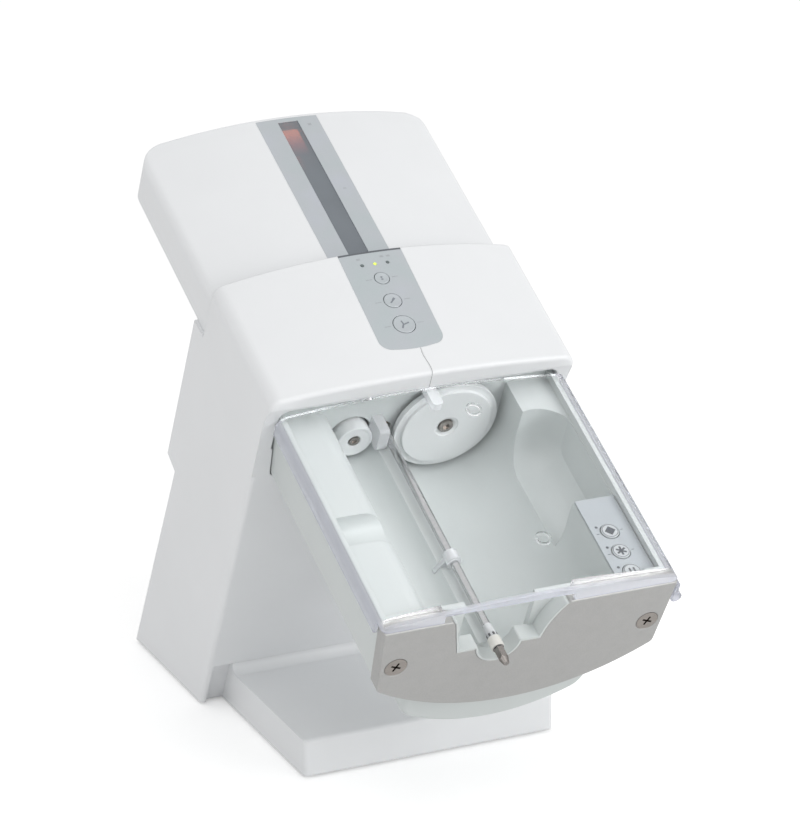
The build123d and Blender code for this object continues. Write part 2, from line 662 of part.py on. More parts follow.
def keypad():
    plate = block(TROUGH_RIGHT + 0.2, 78.6, CAVITY_FRONT, SCOOP_FRONT - 1.0, DECK_Z, DECK_Z + KEYPAD_THICK)
    for y in KEY_PLACES:
        plate -= post(KEY_X, y, KEY_RADIUS + 0.4, -30, 0)
    return plate


def keypad_button(y):
    top = DECK_Z + KEYPAD_THICK + 0.8
    low = UNDER_DECK_Z - 1.2
    key = post(KEY_X, y, KEY_RADIUS, low, top)
    key += block(KEY_X - 6.2, KEY_X + 6.2, max(y - 6.2, CAVITY_FRONT + 0.5), y + 6.2, low, low + 0.8)
    return fillet(key.edges().group_by(Axis.Z)[-1], 0.5)


def keypad_board():
    low = UNDER_DECK_Z - 4.4
    board = block(58.2, 77.5, -142.5, -99, low, low + 1.4)
    for y in KEY_PLACES:
        board += block(KEY_X - 2, KEY_X + 2, y - 2, y + 2, low + 1.4, low + 2.2)
    for y in (-133, -118, -101.5):
        board += post(74.8, y, 1.8, low + 1.4, UNDER_DECK_Z)
    return board


def shaft_support():
    """Clear post on the floor of the bay that steadies the mixing shaft."""
    y = SUPPORT_Y
    web = outline([(-23.5, -58), (-23.5, -50), (SHAFT_X - 4.2, AXIS_Z), (SHAFT_X + 4.2, AXIS_Z),
                   (-10.4, -47), (-10.4, -58)])
    arm = along_y(web, y - 1.5, y + 1.5)
    arm += rod(SHAFT_X, AXIS_Z, 4.2, y - 4, y + 3)
    arm -= along_y(cavity_cut_below(), y - 8, y + 6)
    return arm - rod(SHAFT_X, AXIS_Z, SHAFT_RADIUS + 0.1, y - 5, y + 5)


def cavity_cut_below():
    """Everything in x and z under the floor of the bay."""
    return rectangle(-90, 90, -120, 10) - cavity_section()


def cartridge_key():
    """Clear block on the rear wall that keeps the cartridges the right way round."""
    key = block(-23.3, -17.3, -5.0, TRAY_WALL_FACE, -46, -31)
    return fillet(key.edges().filter_by(Axis.X).sort_by(Axis.Y)[:2], 2.0)


def light_guide():
    bar = block(0.9, 7.1, -12, WALL, -13, LIP_Z)
    return fillet(bar.edges().filter_by(Axis.Z).sort_by(Axis.Y)[:2], 2.2)


# Lid

def lid_form(inset):
    half = LID_HALF - inset
    section = crowned(half, LID_SIDE_Z - inset, LID_CROWN_Z - inset, -60, LID_CORNER - inset)
    body = along_y(section, LID_FRONT + inset, LID_REAR + (1 if inset else 0))
    plan = rectangle(-half, half, LID_FRONT + inset, LID_REAR + (1 if inset else 0))
    plan = fillet(plan.vertices().group_by(Axis.Y)[0], 4.5 - inset)
    return body & along_z(plan, -60, 20)


def lid():
    """Clear cover with side skirts, a short front wall and hinge knuckles on the right."""
    cover = lid_form(0) - lid_form(LID_SKIN)
    cover -= block(-95, 95, LID_FRONT - 1, 5, -70, LID_SKIRT_Z)
    cover -= block(-95, 95, LID_FRONT - 1, TRAY_FRONT + 0.4, -70, LID_FRONT_Z)
    cover -= block(LUG_LEFT, LUG_RIGHT, LID_FRONT - 1, TRAY_FRONT + 0.4, -70, LID_CROWN_Z - 4.4)
    lugs = block(-LID_HALF, LUG_LEFT, LID_FRONT, LUG_REAR, LID_FRONT_Z, 0)
    lugs += block(LUG_RIGHT, LID_HALF, LID_FRONT, LUG_REAR, LID_FRONT_Z, 0)
    cover += lugs & lid_form(0)
    for y0, y1 in LID_KNUCKLES:
        cover += block(84.0, LID_HALF, max(y0, TRAY_FRONT + 0.4), y1, HINGE_Z, LID_SKIRT_Z + 0.5)
        cover += rod(HINGE_X, HINGE_Z, KNUCKLE_RADIUS, y0, y1)
    cover += block(LUG_WEB, HINGE_X, LID_FRONT, TRAY_FRONT + 0.4, HINGE_Z, LID_SIDE_Z - LID_CORNER)
    for x, y in LID_RINGS:
        cover += post(x, y, 4.4, -9.0, -6.4) - post(x, y, 3.4, -10.0, -7.6)
    return cover - rod(HINGE_X, HINGE_Z, HINGE_PIN_RADIUS + 0.1, -151.5, 0)


def hinge_pin():
    return rod(HINGE_X, HINGE_Z, HINGE_PIN_RADIUS, -151, -3)


# Plungers and their drive

def big_plunger():
    """Wide disc with a raised rim, a dished face and a hub on its push rod."""
    disc = rod(BIG_X, AXIS_Z, BIG_RADIUS, FACE_Y + 1.4, FACE_Y + 5.0)
    disc += rod(BIG_X, AXIS_Z, BIG_FACE_RADIUS, FACE_Y, FACE_Y + 5.0)
    disc = fillet(disc.edges().filter_by(GeomType.CIRCLE), 0.6)
    disc -= rod(BIG_X, AXIS_Z, 4.2, FACE_Y - 1, FACE_Y + 2.6)
    return disc


def small_plunger():
    disc = rod(SMALL_X, AXIS_Z, SMALL_RADIUS, FACE_Y, FACE_Y + 12.0)
    disc = fillet(disc.edges().filter_by(GeomType.CIRCLE), 0.8)
    disc -= rod(SMALL_X, AXIS_Z, 3.2, FACE_Y - 1, FACE_Y + 2.2)
    return disc


def push_rods():
    return [rod(BIG_X, AXIS_Z, BIG_ROD_RADIUS, FACE_Y + 5.0, CARRIAGE_Y1),
            rod(SMALL_X, AXIS_Z, SMALL_ROD_RADIUS, FACE_Y + 12.0, CARRIAGE_Y1)]


def plunger_screws():
    """Socket screws that hold the discs to their rods."""
    screws = []
    for x, radius, depth in ((BIG_X, 4.0, 2.6), (SMALL_X, 3.0, 2.2)):
        head = rod(x, AXIS_Z, radius, FACE_Y + 0.4, FACE_Y + depth)
        socket = along_y(Pos(x, AXIS_Z) * RegularPolygon(radius * 0.55, 6), FACE_Y, FACE_Y + 1.8)
        screws.append(head - socket)
    return screws


def carriage():
    """Crosshead that carries both push rods and runs on the guide rods."""
    body = block(-57, 57, CARRIAGE_Y0, CARRIAGE_Y1, -33, -13)
    body += block(-50, 50, CARRIAGE_Y0, CARRIAGE_Y1, -48, -32)
    for x in (-GUIDE_X, GUIDE_X):
        body -= rod(x, GUIDE_Z, 7.0, CARRIAGE_Y0 - 1, CARRIAGE_Y1 + 1)
    body -= rod(SCREW_DRIVE_X, SCREW_DRIVE_Z, 9.0, CARRIAGE_Y0 - 1, CARRIAGE_Y1 + 1)
    body -= rod(BIG_X, AXIS_Z, BIG_ROD_RADIUS, CARRIAGE_Y0 - 1, CARRIAGE_Y1 + 1)
    body -= rod(SMALL_X, AXIS_Z, SMALL_ROD_RADIUS, CARRIAGE_Y0 - 1, CARRIAGE_Y1 + 1)
    return body


def carriage_bushes():
    return [tube(x, GUIDE_Z, 7.0, GUIDE_RADIUS + RUNNING_FIT, CARRIAGE_Y0 - 2, CARRIAGE_Y1 + 2)
            for x in (-GUIDE_X, GUIDE_X)]


def drive_nut():
    nut = rod(SCREW_DRIVE_X, SCREW_DRIVE_Z, 9.0, CARRIAGE_Y0 - 4, CARRIAGE_Y1)
    return nut - rod(SCREW_DRIVE_X, SCREW_DRIVE_Z, SCREW_DRIVE_RADIUS + 0.1, 150, 220)


def level_flag():
    """Orange flag on the carriage that shows under the window how full the cartridges are."""
    flag = block(-5.6, 5.6, 188, 209, -4.4, -3.4)
    return flag + block(-5.6, -3.8, 190, 194, -13, -4.4)


def guide_rods():
    return [rod(x, GUIDE_Z, GUIDE_RADIUS, CHASSIS_FRONT_Y, REAR_PLATE_Y + CHASSIS_THICK)
            for x in (-GUIDE_X, GUIDE_X)]


def lead_screw():
    """Trapezoidal screw, drawn with its thread as a row of grooves, and plain ends."""
    x, z, r = SCREW_DRIVE_X, SCREW_DRIVE_Z, SCREW_DRIVE_RADIUS
    core = rod(x, z, 4.0, CHASSIS_FRONT_Y + 0.2, REAR_PLATE_Y + CHASSIS_THICK)
    y = MOTOR_PLATE_Y + 6
    while y < REAR_PLATE_Y - 4:
        core += rod(x, z, r, y, y + 2.4)
        y += 4.0
    return core


def chassis_front():
    """Plate behind the tray that carries the guide rods, the screw and the mixing shaft."""
    y0, y1 = CHASSIS_FRONT_Y, CHASSIS_FRONT_Y + CHASSIS_THICK
    plate = block(-78, 78, y0, y1, -205, -6)
    plate -= rod(BIG_X, AXIS_Z, BIG_ROD_RADIUS + 0.8, y0 - 1, y1 + 1)
    plate -= rod(SMALL_X, AXIS_Z, SMALL_RADIUS + 1.6, y0 - 1, y1 + 1)
    plate -= rod(SHAFT_X, AXIS_Z, 5.0, y0 - 1, y1 + 1)
    plate -= rod(SCREW_DRIVE_X, SCREW_DRIVE_Z, 4.3, y0 - 1, y1 + 1)
    for x in (-GUIDE_X, GUIDE_X):
        plate -= rod(x, GUIDE_Z, GUIDE_RADIUS, y0 - 1, y1 + 1)
    for x in (-45, 45):
        plate -= block(x - 22, x + 22, y0 - 1, y1 + 1, -190, -95)
    return plate


def motor_plate():
    y0, y1 = MOTOR_PLATE_Y, MOTOR_PLATE_Y + CHASSIS_THICK
    plate = block(-62, 62, y0, y1, -200, -8)
    plate -= rod(BIG_X, AXIS_Z, BIG_ROD_RADIUS + 0.8, y0 - 1, y1 + 1)
    plate -= rod(SMALL_X, AXIS_Z, SMALL_ROD_RADIUS + 0.8, y0 - 1, y1 + 1)
    plate -= rod(SHAFT_X, AXIS_Z, 5.0, y0 - 1, y1 + 1)
    plate -= rod(SCREW_DRIVE_X, SCREW_DRIVE_Z, 8.0, y0 - 1, y1 + 1)
    plate -= rod(SCREW_DRIVE_X, FEED_MOTOR_Z, 6.0, y0 - 1, y1 + 1)
    plate -= rod(SHAFT_X, MIX_MOTOR_Z, 6.0, y0 - 1, y1 + 1)
    for x in (-GUIDE_X, GUIDE_X):
        plate -= rod(x, GUIDE_Z, GUIDE_RADIUS, y0 - 1, y1 + 1)
    return plate


def chassis_pillars():
    places = [(-56, -70), (56, -70), (-56, -194), (56, -194)]
    return [rod(x, z, 4, CHASSIS_FRONT_Y + CHASSIS_THICK, MOTOR_PLATE_Y) for x, z in places]


def rear_plate():
    y0, y1 = REAR_PLATE_Y, REAR_PLATE_Y + CHASSIS_THICK
    plate = block(-56, 56, y0, y1, REAR_FLOOR_Z + 3, -11)
    for x in (-GUIDE_X, GUIDE_X):
        plate -= rod(x, GUIDE_Z, GUIDE_RADIUS, y0 - 1, y1 + 1)
    plate -= rod(SCREW_DRIVE_X, SCREW_DRIVE_Z, 6.5, y0 - 1, y1 + 1)
    return plate


def ring_bearing(x, z, outer, inner, y0, y1):
    return tube(x, z, outer, inner + RUNNING_FIT, y0, y1)


def bearings():
    """Two for the lead screw and two for the mixing shaft."""
    plates = [(MOTOR_PLATE_Y, 8.0), (REAR_PLATE_Y, 6.5)]
    rings = [ring_bearing(SCREW_DRIVE_X, SCREW_DRIVE_Z, outer, 4.0, y, y + CHASSIS_THICK)
             for y, outer in plates]
    rings += [ring_bearing(SHAFT_X, AXIS_Z, 5.0, SHAFT_RADIUS, y, y + CHASSIS_THICK)
              for y in (CHASSIS_FRONT_Y, MOTOR_PLATE_Y)]
    return rings


def pulley(x, z, radius, bore, y):
    """Belt wheel with a flange on each side."""
    wheel = rod(x, z, radius, y, y + PULLEY_WIDTH)
    for y0 in (y, y + PULLEY_WIDTH - 0.7):
        wheel += rod(x, z, radius + 1.2, y0, y0 + 0.7)
    return wheel - rod(x, z, bore, y - 1, y + PULLEY_WIDTH + 1)


def belt(x, z_top, z_low, radius, y):
    """Closed belt round two equal wheels."""
    inner = radius + BELT_GAP
    outer = inner + BELT_THICK
    y0, y1 = y + 1.0, y + PULLEY_WIDTH - 1.0
    def loop(r):
        return rod(x, z_top, r, y0, y1) + rod(x, z_low, r, y0, y1) + block(x - r, x + r, y0, y1, z_low, z_top)
    return loop(outer) - loop(inner)


def mixing_shaft():
    return rod(SHAFT_X, AXIS_Z, SHAFT_RADIUS, -156.0, MOTOR_PLATE_Y + CHASSIS_THICK + 4)


def shaft_sleeve():
    """White collar near the tip with a ribbed rear end."""
    collar = tube(SHAFT_X, AXIS_Z, SLEEVE_RADIUS, SHAFT_RADIUS, -156.0, -148.5)
    return collar + tube(SHAFT_X, AXIS_Z, SLEEVE_RADIUS - 0.5, SHAFT_RADIUS, -148.5, -140.0)


def shaft_tip():
    tip = along_y(Pos(SHAFT_X, AXIS_Z) * RegularPolygon(HEX_FLATS / 2, 6, major_radius=False),
                  SHAFT_TIP, -156.0)
    cone = Pos(SHAFT_X, SHAFT_TIP + 5.4, AXIS_Z) * Rot(90, 0, 0) * Cone(5.0, 1.6, 10.8)
    return tip & cone


def motor(x, z, y0, y1, shaft_radius):
    """Motor can with a smaller rear cap, bolted to the motor plate."""
    can = rod(x, z, MOTOR_RADIUS, y0, y1 - 6) + rod(x, z, 12, y1 - 6, y1)
    return can - rod(x, z, shaft_radius + 1.0, y0 - 1, y0 + 10) if shaft_radius else can


def feed_motor():
    """Gear motor: gearbox at the front and motor can behind it."""
    y0 = MOTOR_PLATE_Y + CHASSIS_THICK
    case = rod(SCREW_DRIVE_X, FEED_MOTOR_Z, 22, y0, y0 + 19)
    case += motor(SCREW_DRIVE_X, FEED_MOTOR_Z, y0 + 18, 87.0, 0.0)
    return case - rod(SCREW_DRIVE_X, FEED_MOTOR_Z, 5.0, y0 - 1, y0 + 12)


def drive_pulley(x, z, radius, y):
    """Pulley with the motor's output shaft through it."""
    return pulley(x, z, radius, 2.0, y) + rod(x, z, 3.0, y, MOTOR_PLATE_Y + CHASSIS_THICK + 8)


# Back of the column

def back_panel():
    panel = block(-72, 72, COLUMN_REAR_UPPER - WALL, COLUMN_REAR_UPPER, -138, -58)
    for row in range(7):
        z = -66 - 4.4 * row
        panel -= block(-46, 46, 100, 106, z - 1, z + 1)
    panel -= block(-54, -26, 100, 106, -128, -107)
    panel -= block(10, 33, 100, 106, -124.5, -110.5)
    return panel


def mains_inlet():
    """Appliance inlet with three pins in a recess."""
    body = block(-53.7, -26.3, COLUMN_REAR_UPPER - 20, COLUMN_REAR_UPPER, -127.7, -107.3)
    body += block(-57, -23, COLUMN_REAR_UPPER, COLUMN_REAR_UPPER + 2, -131, -104)
    well = block(-51.5, -28.5, COLUMN_REAR_UPPER - 16, COLUMN_REAR_UPPER + 3, -124.5, -110.5)
    body -= well
    for x, z in ((-47, -119), (-40, -115.5), (-33, -119)):
        body += block(x - 1, x + 1, COLUMN_REAR_UPPER - 18, COLUMN_REAR_UPPER - 3, z - 2, z + 2)
    return body


def switch_frame():
    frame = block(10.3, 32.7, COLUMN_REAR_UPPER - 14, COLUMN_REAR_UPPER, -124.2, -110.8)
    frame += block(8, 35, COLUMN_REAR_UPPER, COLUMN_REAR_UPPER + 1.5, -126.5, -108.5)
    frame -= block(12, 31, COLUMN_REAR_UPPER - 11, COLUMN_REAR_UPPER + 3, -123, -112)
    return frame - post(ROCKER_X, ROCKER_Y, ROCKER_AXLE + RUNNING_FIT, -124.0, -111.0)


def rocker():
    """Rocker that tips about its axle along the head's z, drawn in its off position."""
    shape = outline([(-8.2, -3), (0, -5), (8.2, -3), (8.2, 4.4), (0, 3.0), (-8.2, 4.4)])
    tipped = Pos(ROCKER_X, ROCKER_Y) * Rot(0, 0, -ROCKER_TILT) * shape
    return along_z(tipped, -122.4, -112.6) + post(ROCKER_X, ROCKER_Y, ROCKER_AXLE, -123.8, -111.2)


def main_board():
    """Upright control board on the left half, with its chips and connectors."""
    board = block(-84.5, -82.9, 18, 84, -190, -80)
    board += block(-82.9, -80.5, 30, 46, -120, -100)
    board += block(-82.9, -79.5, 56, 76, -150, -130)
    board += block(-82.9, -73, 24, 78, -188, -180)
    for y in (22, 80):
        for z in (-186, -84):
            board += across(y, z, 3, -HOUSING_HALF + WALL, -84.5)
    return board


# Export

def in_place(shapes):
    """Moves head pieces to the table's axes, as one shape or a group of separate solids."""
    if isinstance(shapes, list):
        return Compound(children=[HEAD * shape for shape in shapes])
    return HEAD * shapes


def save(name, shape):
    export_step(shape, f"parts/{name}.step")


def main():
    shell = housing()
    right_side = block(SEAM_X, 200, -300, 400, -600, 100)
    head_parts = {
        "housing_left": shell - right_side,
        "housing_right": shell & right_side,
        "rear_cover": rear_cover(),
        "rear_floor": rear_floor(),
        "trim_strip": trim_strip(),
        "level_window": level_window(),
        "control_panel": control_panel(),
        "panel_lamps": panel_lamps(),
        "panel_board": panel_board(),
        "tray": tray(),
        "tray_belly": tray_belly(),
        "front_plate": front_plate(),
        "plate_screws": plate_screws(),
        "keypad": keypad(),
        "keypad_board": keypad_board(),
        "shaft_support": shaft_support(),
        "cartridge_key": cartridge_key(),
        "light_guide": light_guide(),
        "lid": lid(),
        "hinge_pin": hinge_pin(),
        "big_plunger": big_plunger(),
        "small_plunger": small_plunger(),
        "push_rods": push_rods(),
        "plunger_screws": plunger_screws(),
        "carriage": carriage(),
        "carriage_bushes": carriage_bushes(),
        "drive_nut": drive_nut(),
        "level_flag": level_flag(),
        "guide_rods": guide_rods(),
        "lead_screw": lead_screw(),
        "chassis_front": chassis_front(),
        "motor_plate": motor_plate(),
        "chassis_pillars": chassis_pillars(),
        "rear_plate": rear_plate(),
        "bearings": bearings(),
        "screw_pulley": pulley(SCREW_DRIVE_X, SCREW_DRIVE_Z, FEED_PULLEY, 4.0, FEED_BELT_Y),
        "feed_belt": belt(SCREW_DRIVE_X, SCREW_DRIVE_Z, FEED_MOTOR_Z, FEED_PULLEY, FEED_BELT_Y),
        "feed_motor_pulley": drive_pulley(SCREW_DRIVE_X, FEED_MOTOR_Z, FEED_PULLEY, FEED_BELT_Y),
        "feed_motor": feed_motor(),
        "shaft_pulley": pulley(SHAFT_X, AXIS_Z, MIX_PULLEY, SHAFT_RADIUS, MIX_BELT_Y),
        "mixer_belt": belt(SHAFT_X, AXIS_Z, MIX_MOTOR_Z, MIX_PULLEY, MIX_BELT_Y),
        "mixer_motor_pulley": drive_pulley(SHAFT_X, MIX_MOTOR_Z, MIX_PULLEY, MIX_BELT_Y),
        "mixer_motor": motor(SHAFT_X, MIX_MOTOR_Z, MOTOR_PLATE_Y + CHASSIS_THICK, 81.0, 3.0),
        "mixing_shaft": mixing_shaft() + shaft_tip(),
        "shaft_sleeve": shaft_sleeve(),
        "back_panel": back_panel(),
        "mains_inlet": mains_inlet(),
        "switch_frame": switch_frame(),
        "power_rocker": rocker(),
        "main_board": main_board(),
    }
    for number, (y, radius) in enumerate(PANEL_BUTTONS, start=1):
        head_parts[f"panel_button_{number}"] = panel_button(y, radius)
    for number, y in enumerate(reversed(KEY_PLACES), start=1):
        head_parts[f"keypad_button_{number}"] = keypad_button(y)
    for name, shape in head_parts.items():
        save(name, in_place(shape))
    save("foot", foot())
    save("base_pan", base_pan())
    save("rubber_feet", Compound(children=feet()))
    save("power_supply", power_supply())


main()
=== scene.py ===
import math

import bmesh
import bpy
import numpy as np
from mathutils import Matrix, Vector


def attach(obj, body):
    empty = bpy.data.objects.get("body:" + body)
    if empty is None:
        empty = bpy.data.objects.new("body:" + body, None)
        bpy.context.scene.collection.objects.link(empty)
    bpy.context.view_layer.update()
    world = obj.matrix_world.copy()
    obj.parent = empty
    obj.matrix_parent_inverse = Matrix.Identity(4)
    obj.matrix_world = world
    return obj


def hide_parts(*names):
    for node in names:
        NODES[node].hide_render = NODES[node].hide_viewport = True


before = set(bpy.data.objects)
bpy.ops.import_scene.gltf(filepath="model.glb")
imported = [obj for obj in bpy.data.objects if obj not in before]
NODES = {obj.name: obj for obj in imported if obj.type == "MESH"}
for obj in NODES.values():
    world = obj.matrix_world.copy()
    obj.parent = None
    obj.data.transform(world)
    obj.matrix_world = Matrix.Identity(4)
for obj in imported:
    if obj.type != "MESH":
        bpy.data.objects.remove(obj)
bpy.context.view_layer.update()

bl_info = {
    "name": "Dental impression mixer",
    "version": (1, 0, 0),
    "blender": (4, 5, 0),
    "location": "3D View > Sidebar > Mixer",
    "description": "Finishes and fine pieces of a countertop mixer for dental impression material",
    "category": "Object",
}

# The head's axes: x to the right, y backwards from the hood's front edge, z upwards from the top edge
# of the hood's sides. The head leans down to the front by its tilt. HEAD_Y and HEAD_Z are its origin
# on the table and HEAD_LEVEL is that origin along its own y, in metres.
TILT = math.radians(26.7)
HEAD_Y = -0.0409045
HEAD_Z = 0.2206
HEAD_LEVEL = math.cos(TILT) * HEAD_Y + math.sin(TILT) * HEAD_Z
MILLIMETRES = 1000      # in a metre

# Hood and rear section, in millimetres along the head's axes like all sizes below
HOOD_HALF = 90.5
HOOD_LENGTH = 90.4
HOOD_EDGE = 2.5
FRONT_RISE = 5.0
HOOD_RISE = 6.7
REAR_HALF = 88.5
REAR_RISE = 12.1
REAR_DROP = 11.2
PRINT_LIFT = 0.04

# Joint line between the housing halves
SEAM_X = 2.7
SEAM_REAR = 18.4
SEAM_LOW = -8.0
SEAM_SWAY = 0.5
SEAM_LIFT = 0.03

# Panel: keys as (place along y, radius), the printed marks, and a dark line along the panel's rear edge
# that is painted shadow for the gap there
PANEL_KEYS = [(36.0, 6.2), (53.5, 5.0), (70.2, 4.15)]
KEY_PROUD = 0.3
KEY_DISH = 0.35
KEY_RIM = 0.8
SYMBOL_SCALE = 0.86
DASH_GAP = 1.8
DASH_LENGTH = 3.6
LAMP_LABELS = (-9.4, 4.6, 8.4)
LAMP_LABEL_Y = 85.6
REAR_SHADOW_LINE_Y = 89.75
REAR_SHADOW_LINE_HALF = 18.7

# Bars of the symbols: start, end and width in the plan, from the key's middle
PANEL_SYMBOLS = [
    [(-2.2, -3.0, -0.4, 0.2, 1.1), (-0.4, 0.2, -1.0, 3.2, 1.0), (-0.4, 0.0, 3.6, 1.0, 1.0)],
    [(-2.0, -1.8, 1.4, 1.4, 1.0), (0.2, 0.4, 1.8, 2.0, 1.5)],
    [(-0.7, 1.0, 0.7, 1.0, 0.9), (-0.7, -0.9, 0.7, -0.9, 0.9), (0, -0.9, 0, 1.0, 0.4)],
]
SQUARE = [(-1.6, -1.6, 1.6, 1.6, 4.5)]
STAR = [(0, 0, 3.0 * math.cos(a), 3.0 * math.sin(a), 1.15)
        for a in np.linspace(math.pi / 2, math.pi * 2.5, 7)[:-1]]
TWO_BARS = [(-1.1, -2.0, -1.1, 2.0, 1.1), (1.3, -2.0, 1.3, 2.0, 1.1)]

# Keys on the bay's right deck
TRAY_KEY_X = 65.4
TRAY_KEYS = [(-110.6, SQUARE), (-125.4, STAR), (-140.0, TWO_BARS)]
TRAY_KEY_RING = (4.15, 4.50)
TRAY_KEY_PRINT_Z = -18.66
KEY_PLATE_PRINT_Z = -19.46

# Plungers and shaft, which run along y. The discs' half sections are (radius, depth behind the face).
AXIS_Z = -41.9
BIG_X = 20.7
SMALL_X = -34.4
SHAFT_X = -14.6
FACE_Y = 0.5
BIG_SECTION = [
    (4.2, 4.9), (4.2, 2.0), (5.6, 1.2), (6.8, 0.9), (7.0, 0.35), (20.0, 0.25), (24.6, 0.05), (26.6, 0.0),
    (26.8, 1.5), (29.0, 1.9), (30.6, 1.6), (30.6, 4.9), (4.2, 4.9)]
SMALL_SECTION = [
    (3.2, 11.9), (3.2, 1.5), (3.9, 0.55), (8.6, 0.4), (9.3, 0.0), (10.5, 0.1), (10.5, 11.9), (3.2, 11.9)]
COLLAR_FRONT, COLLAR_REAR, SLEEVE_REAR = -155.9, -149.0, -140.0
SLOTS = 8
SLOT_RADIUS = 3.13

# Bounds of the lid's rims, which carry a painted sheen, and of the flag's painted glow, in metres, and
# how clear the rims are under the sheen
LID_SIDE = (0.0825, 0.0850)
LID_FRONT = (HEAD_LEVEL - 0.1515, HEAD_LEVEL - 0.1540)
RIM_SHEEN_CLARITY = 0.6
FLAG_PAINTED_GLOW = (HEAD_LEVEL + 0.188, HEAD_LEVEL + 0.206)
LIT_LAMP_HALF = 0.003

# Softened edges of small mouldings and of sheet metal, in metres
SMALL_EDGE = 0.0003
SHEET_EDGE = 0.0004

# Stage, in metres: lamps as (name, place, width, power in watts)
LAMPS = (
    ("top_lamp", (-0.1, -0.7, 1.4), 1.4, 3.2),
    ("front_lamp", (1.1, -1.5, 0.75), 1.2, 12.5),
    ("left_lamp", (-1.7, -0.5, 0.8), 1.2, 1.5))
LAMP_AIM = (0, 0, 0.15)
ROOM_LIGHT = 0.70
FLOOR_HALF = 4
FLOOR_LINES = 33
FLOOR_FLAT = 2.2
FLOOR_CURVE = 0.02
FLOOR_GLOW = 0.30

# Camera: its place, the way from what it sees back to it, its turn about the vertical and its roll in
# degrees, and its focal length in the photograph's pixels
CAMERA_PLACE = (-0.8830, -1.9740, 0.9758)
CAMERA_BACK = (-0.3846, -0.8573, 0.3423)
CAMERA_TURN = -24.16
CAMERA_ROLL = -0.43
CAMERA_FOCAL = 4183.28
PHOTO_HEIGHT = 827
SENSOR = 36.0


# Sizes and colours that a user would change

def colour_property(name, text, value):
    """Colour with a name, a description and a default."""
    return bpy.props.FloatVectorProperty(
        name=name, description=text, default=value, subtype="COLOR", size=3, min=0.0, max=1.0)


def length_property(name, text, value):
    """Length in metres with a name, a description and a default."""
    return bpy.props.FloatProperty(name=name, description=text, default=value, unit="LENGTH", precision=5)


class MixerColours(bpy.types.PropertyGroup):
    """Colours of the mixer's mouldings, metal and marks."""

    shell: colour_property("Shell", "Glossy white of hood and column", (0.80, 0.812, 0.824))
    tray: colour_property("Tray", "Pale grey-green of the cartridge bay", (0.598, 0.632, 0.626))
    silver: colour_property("Silver", "Silver film of strip and panel", (0.500, 0.530, 0.556))
    plate: colour_property("Plate", "Blasted metal of the front plate", (0.465, 0.463, 0.455))
    window: colour_property("Window", "Smoked window over the level flag", (0.270, 0.300, 0.330))
    # The flag colour is also the brightest end of the flag's painted glow.
    flag: colour_property("Flag", "Orange level flag", (1.000, 0.260, 0.100))
    key_plate: colour_property("Key plate", "Plate round the bay's keys", (0.413, 0.444, 0.464))
    tray_key: colour_property("Bay keys", "Keys on the bay's right deck", (0.500, 0.525, 0.535))
    plunger: colour_property("Plungers", "Off-white of the plunger discs", (0.715, 0.735, 0.735))
    screw: colour_property("Screws", "Steel of the screws", (0.370, 0.340, 0.315))
    shaft: colour_property("Shaft", "Steel of shaft and rods", (0.560, 0.560, 0.565))
    tip: colour_property("Shaft tip", "Darker steel of the shaft's tip", (0.290, 0.270, 0.255))
    sleeve: colour_property("Collar", "Warm white of the shaft's collar", (0.700, 0.690, 0.650))
    # The marks colour also paints the shadow line along the panel's rear edge.
    marks: colour_property("Marks", "Printed marks on keys and panel", (0.115, 0.125, 0.140))
    lamp: colour_property("Lamp", "Lit indicator lamp", (0.680, 0.850, 0.120))
    lid: colour_property("Lid", "Tint of the clear lid", (0.990, 0.992, 1.000))
    # The lid rim colour is a painted sheen on the lid's outer edges.
    rim: colour_property("Lid rim", "Tint of the lid's outer edges", (0.740, 0.755, 0.815))
    floor: colour_property("Floor", "Pale floor and backdrop", (0.950, 0.950, 0.950))


class MixerSizes(bpy.types.PropertyGroup):
    """Sizes of the fine pieces."""

    edge: length_property("Edge radius", "Radius of the mouldings' softened edges", 0.0007)
    mark: length_property("Mark width", "Width of the printed lines", 0.0004)
    seam: length_property("Seam width", "Width of the line between the housing halves", 0.0003)
    light: bpy.props.FloatProperty(
        name="Light level", description="Strength of all lamps beside their plain level",
        default=1.0, min=0.0)


# Places and meshes

def placed(points):
    """Head millimetres to table metres: x stays, y and z turn by the tilt about x, and the head's
    origin is added."""
    x, y, z = np.moveaxis(np.asarray(points, float), -1, 0) / MILLIMETRES
    c, s = math.cos(TILT), math.sin(TILT)
    return np.stack([x, HEAD_Y + c * y - s * z, HEAD_Z + s * y + c * z], -1)


def arc_height(x, half, rise):
    """Height of a circular arc across: 0 at half its width to either side, and its rise between."""
    radius = (half**2 + rise**2) / (2 * rise)
    return rise - radius + np.sqrt(radius**2 - np.asarray(x, float) ** 2)


def hood_height(x, y):
    """Height of the hood's top: a circular arc across, whose rise grows evenly from front to rear."""
    front = arc_height(x, HOOD_HALF, FRONT_RISE)
    rear = arc_height(x, HOOD_HALF, FRONT_RISE + HOOD_RISE)
    return front + (rear - front) * y / HOOD_LENGTH


def panel_surface(x, y):
    """Height of print on the panel: the hood's top and a thin lift."""
    return hood_height(x, y) + PRINT_LIFT


def key_surface(middle, radius):
    """Height of a panel key's top: it leans with the ridge and is hollowed by a sphere."""
    rim = radius - KEY_RIM
    sphere = (rim**2 + KEY_DISH**2) / (2 * KEY_DISH)

    def height(x, y):
        hollow = sphere - np.sqrt(sphere**2 - x**2 - (y - middle) ** 2)
        return hood_height(x * 0, y) + KEY_PROUD - KEY_DISH + hollow + PRINT_LIFT

    return height


def strip_surface(x, y):
    """Height of print on the strip: the rear section's circular arc, lower than the hood, and a thin
    lift."""
    return arc_height(x, REAR_HALF, REAR_RISE) - REAR_DROP + PRINT_LIFT


def level_surface(height):
    """The same height everywhere."""
    return lambda x, y: x * 0 + height


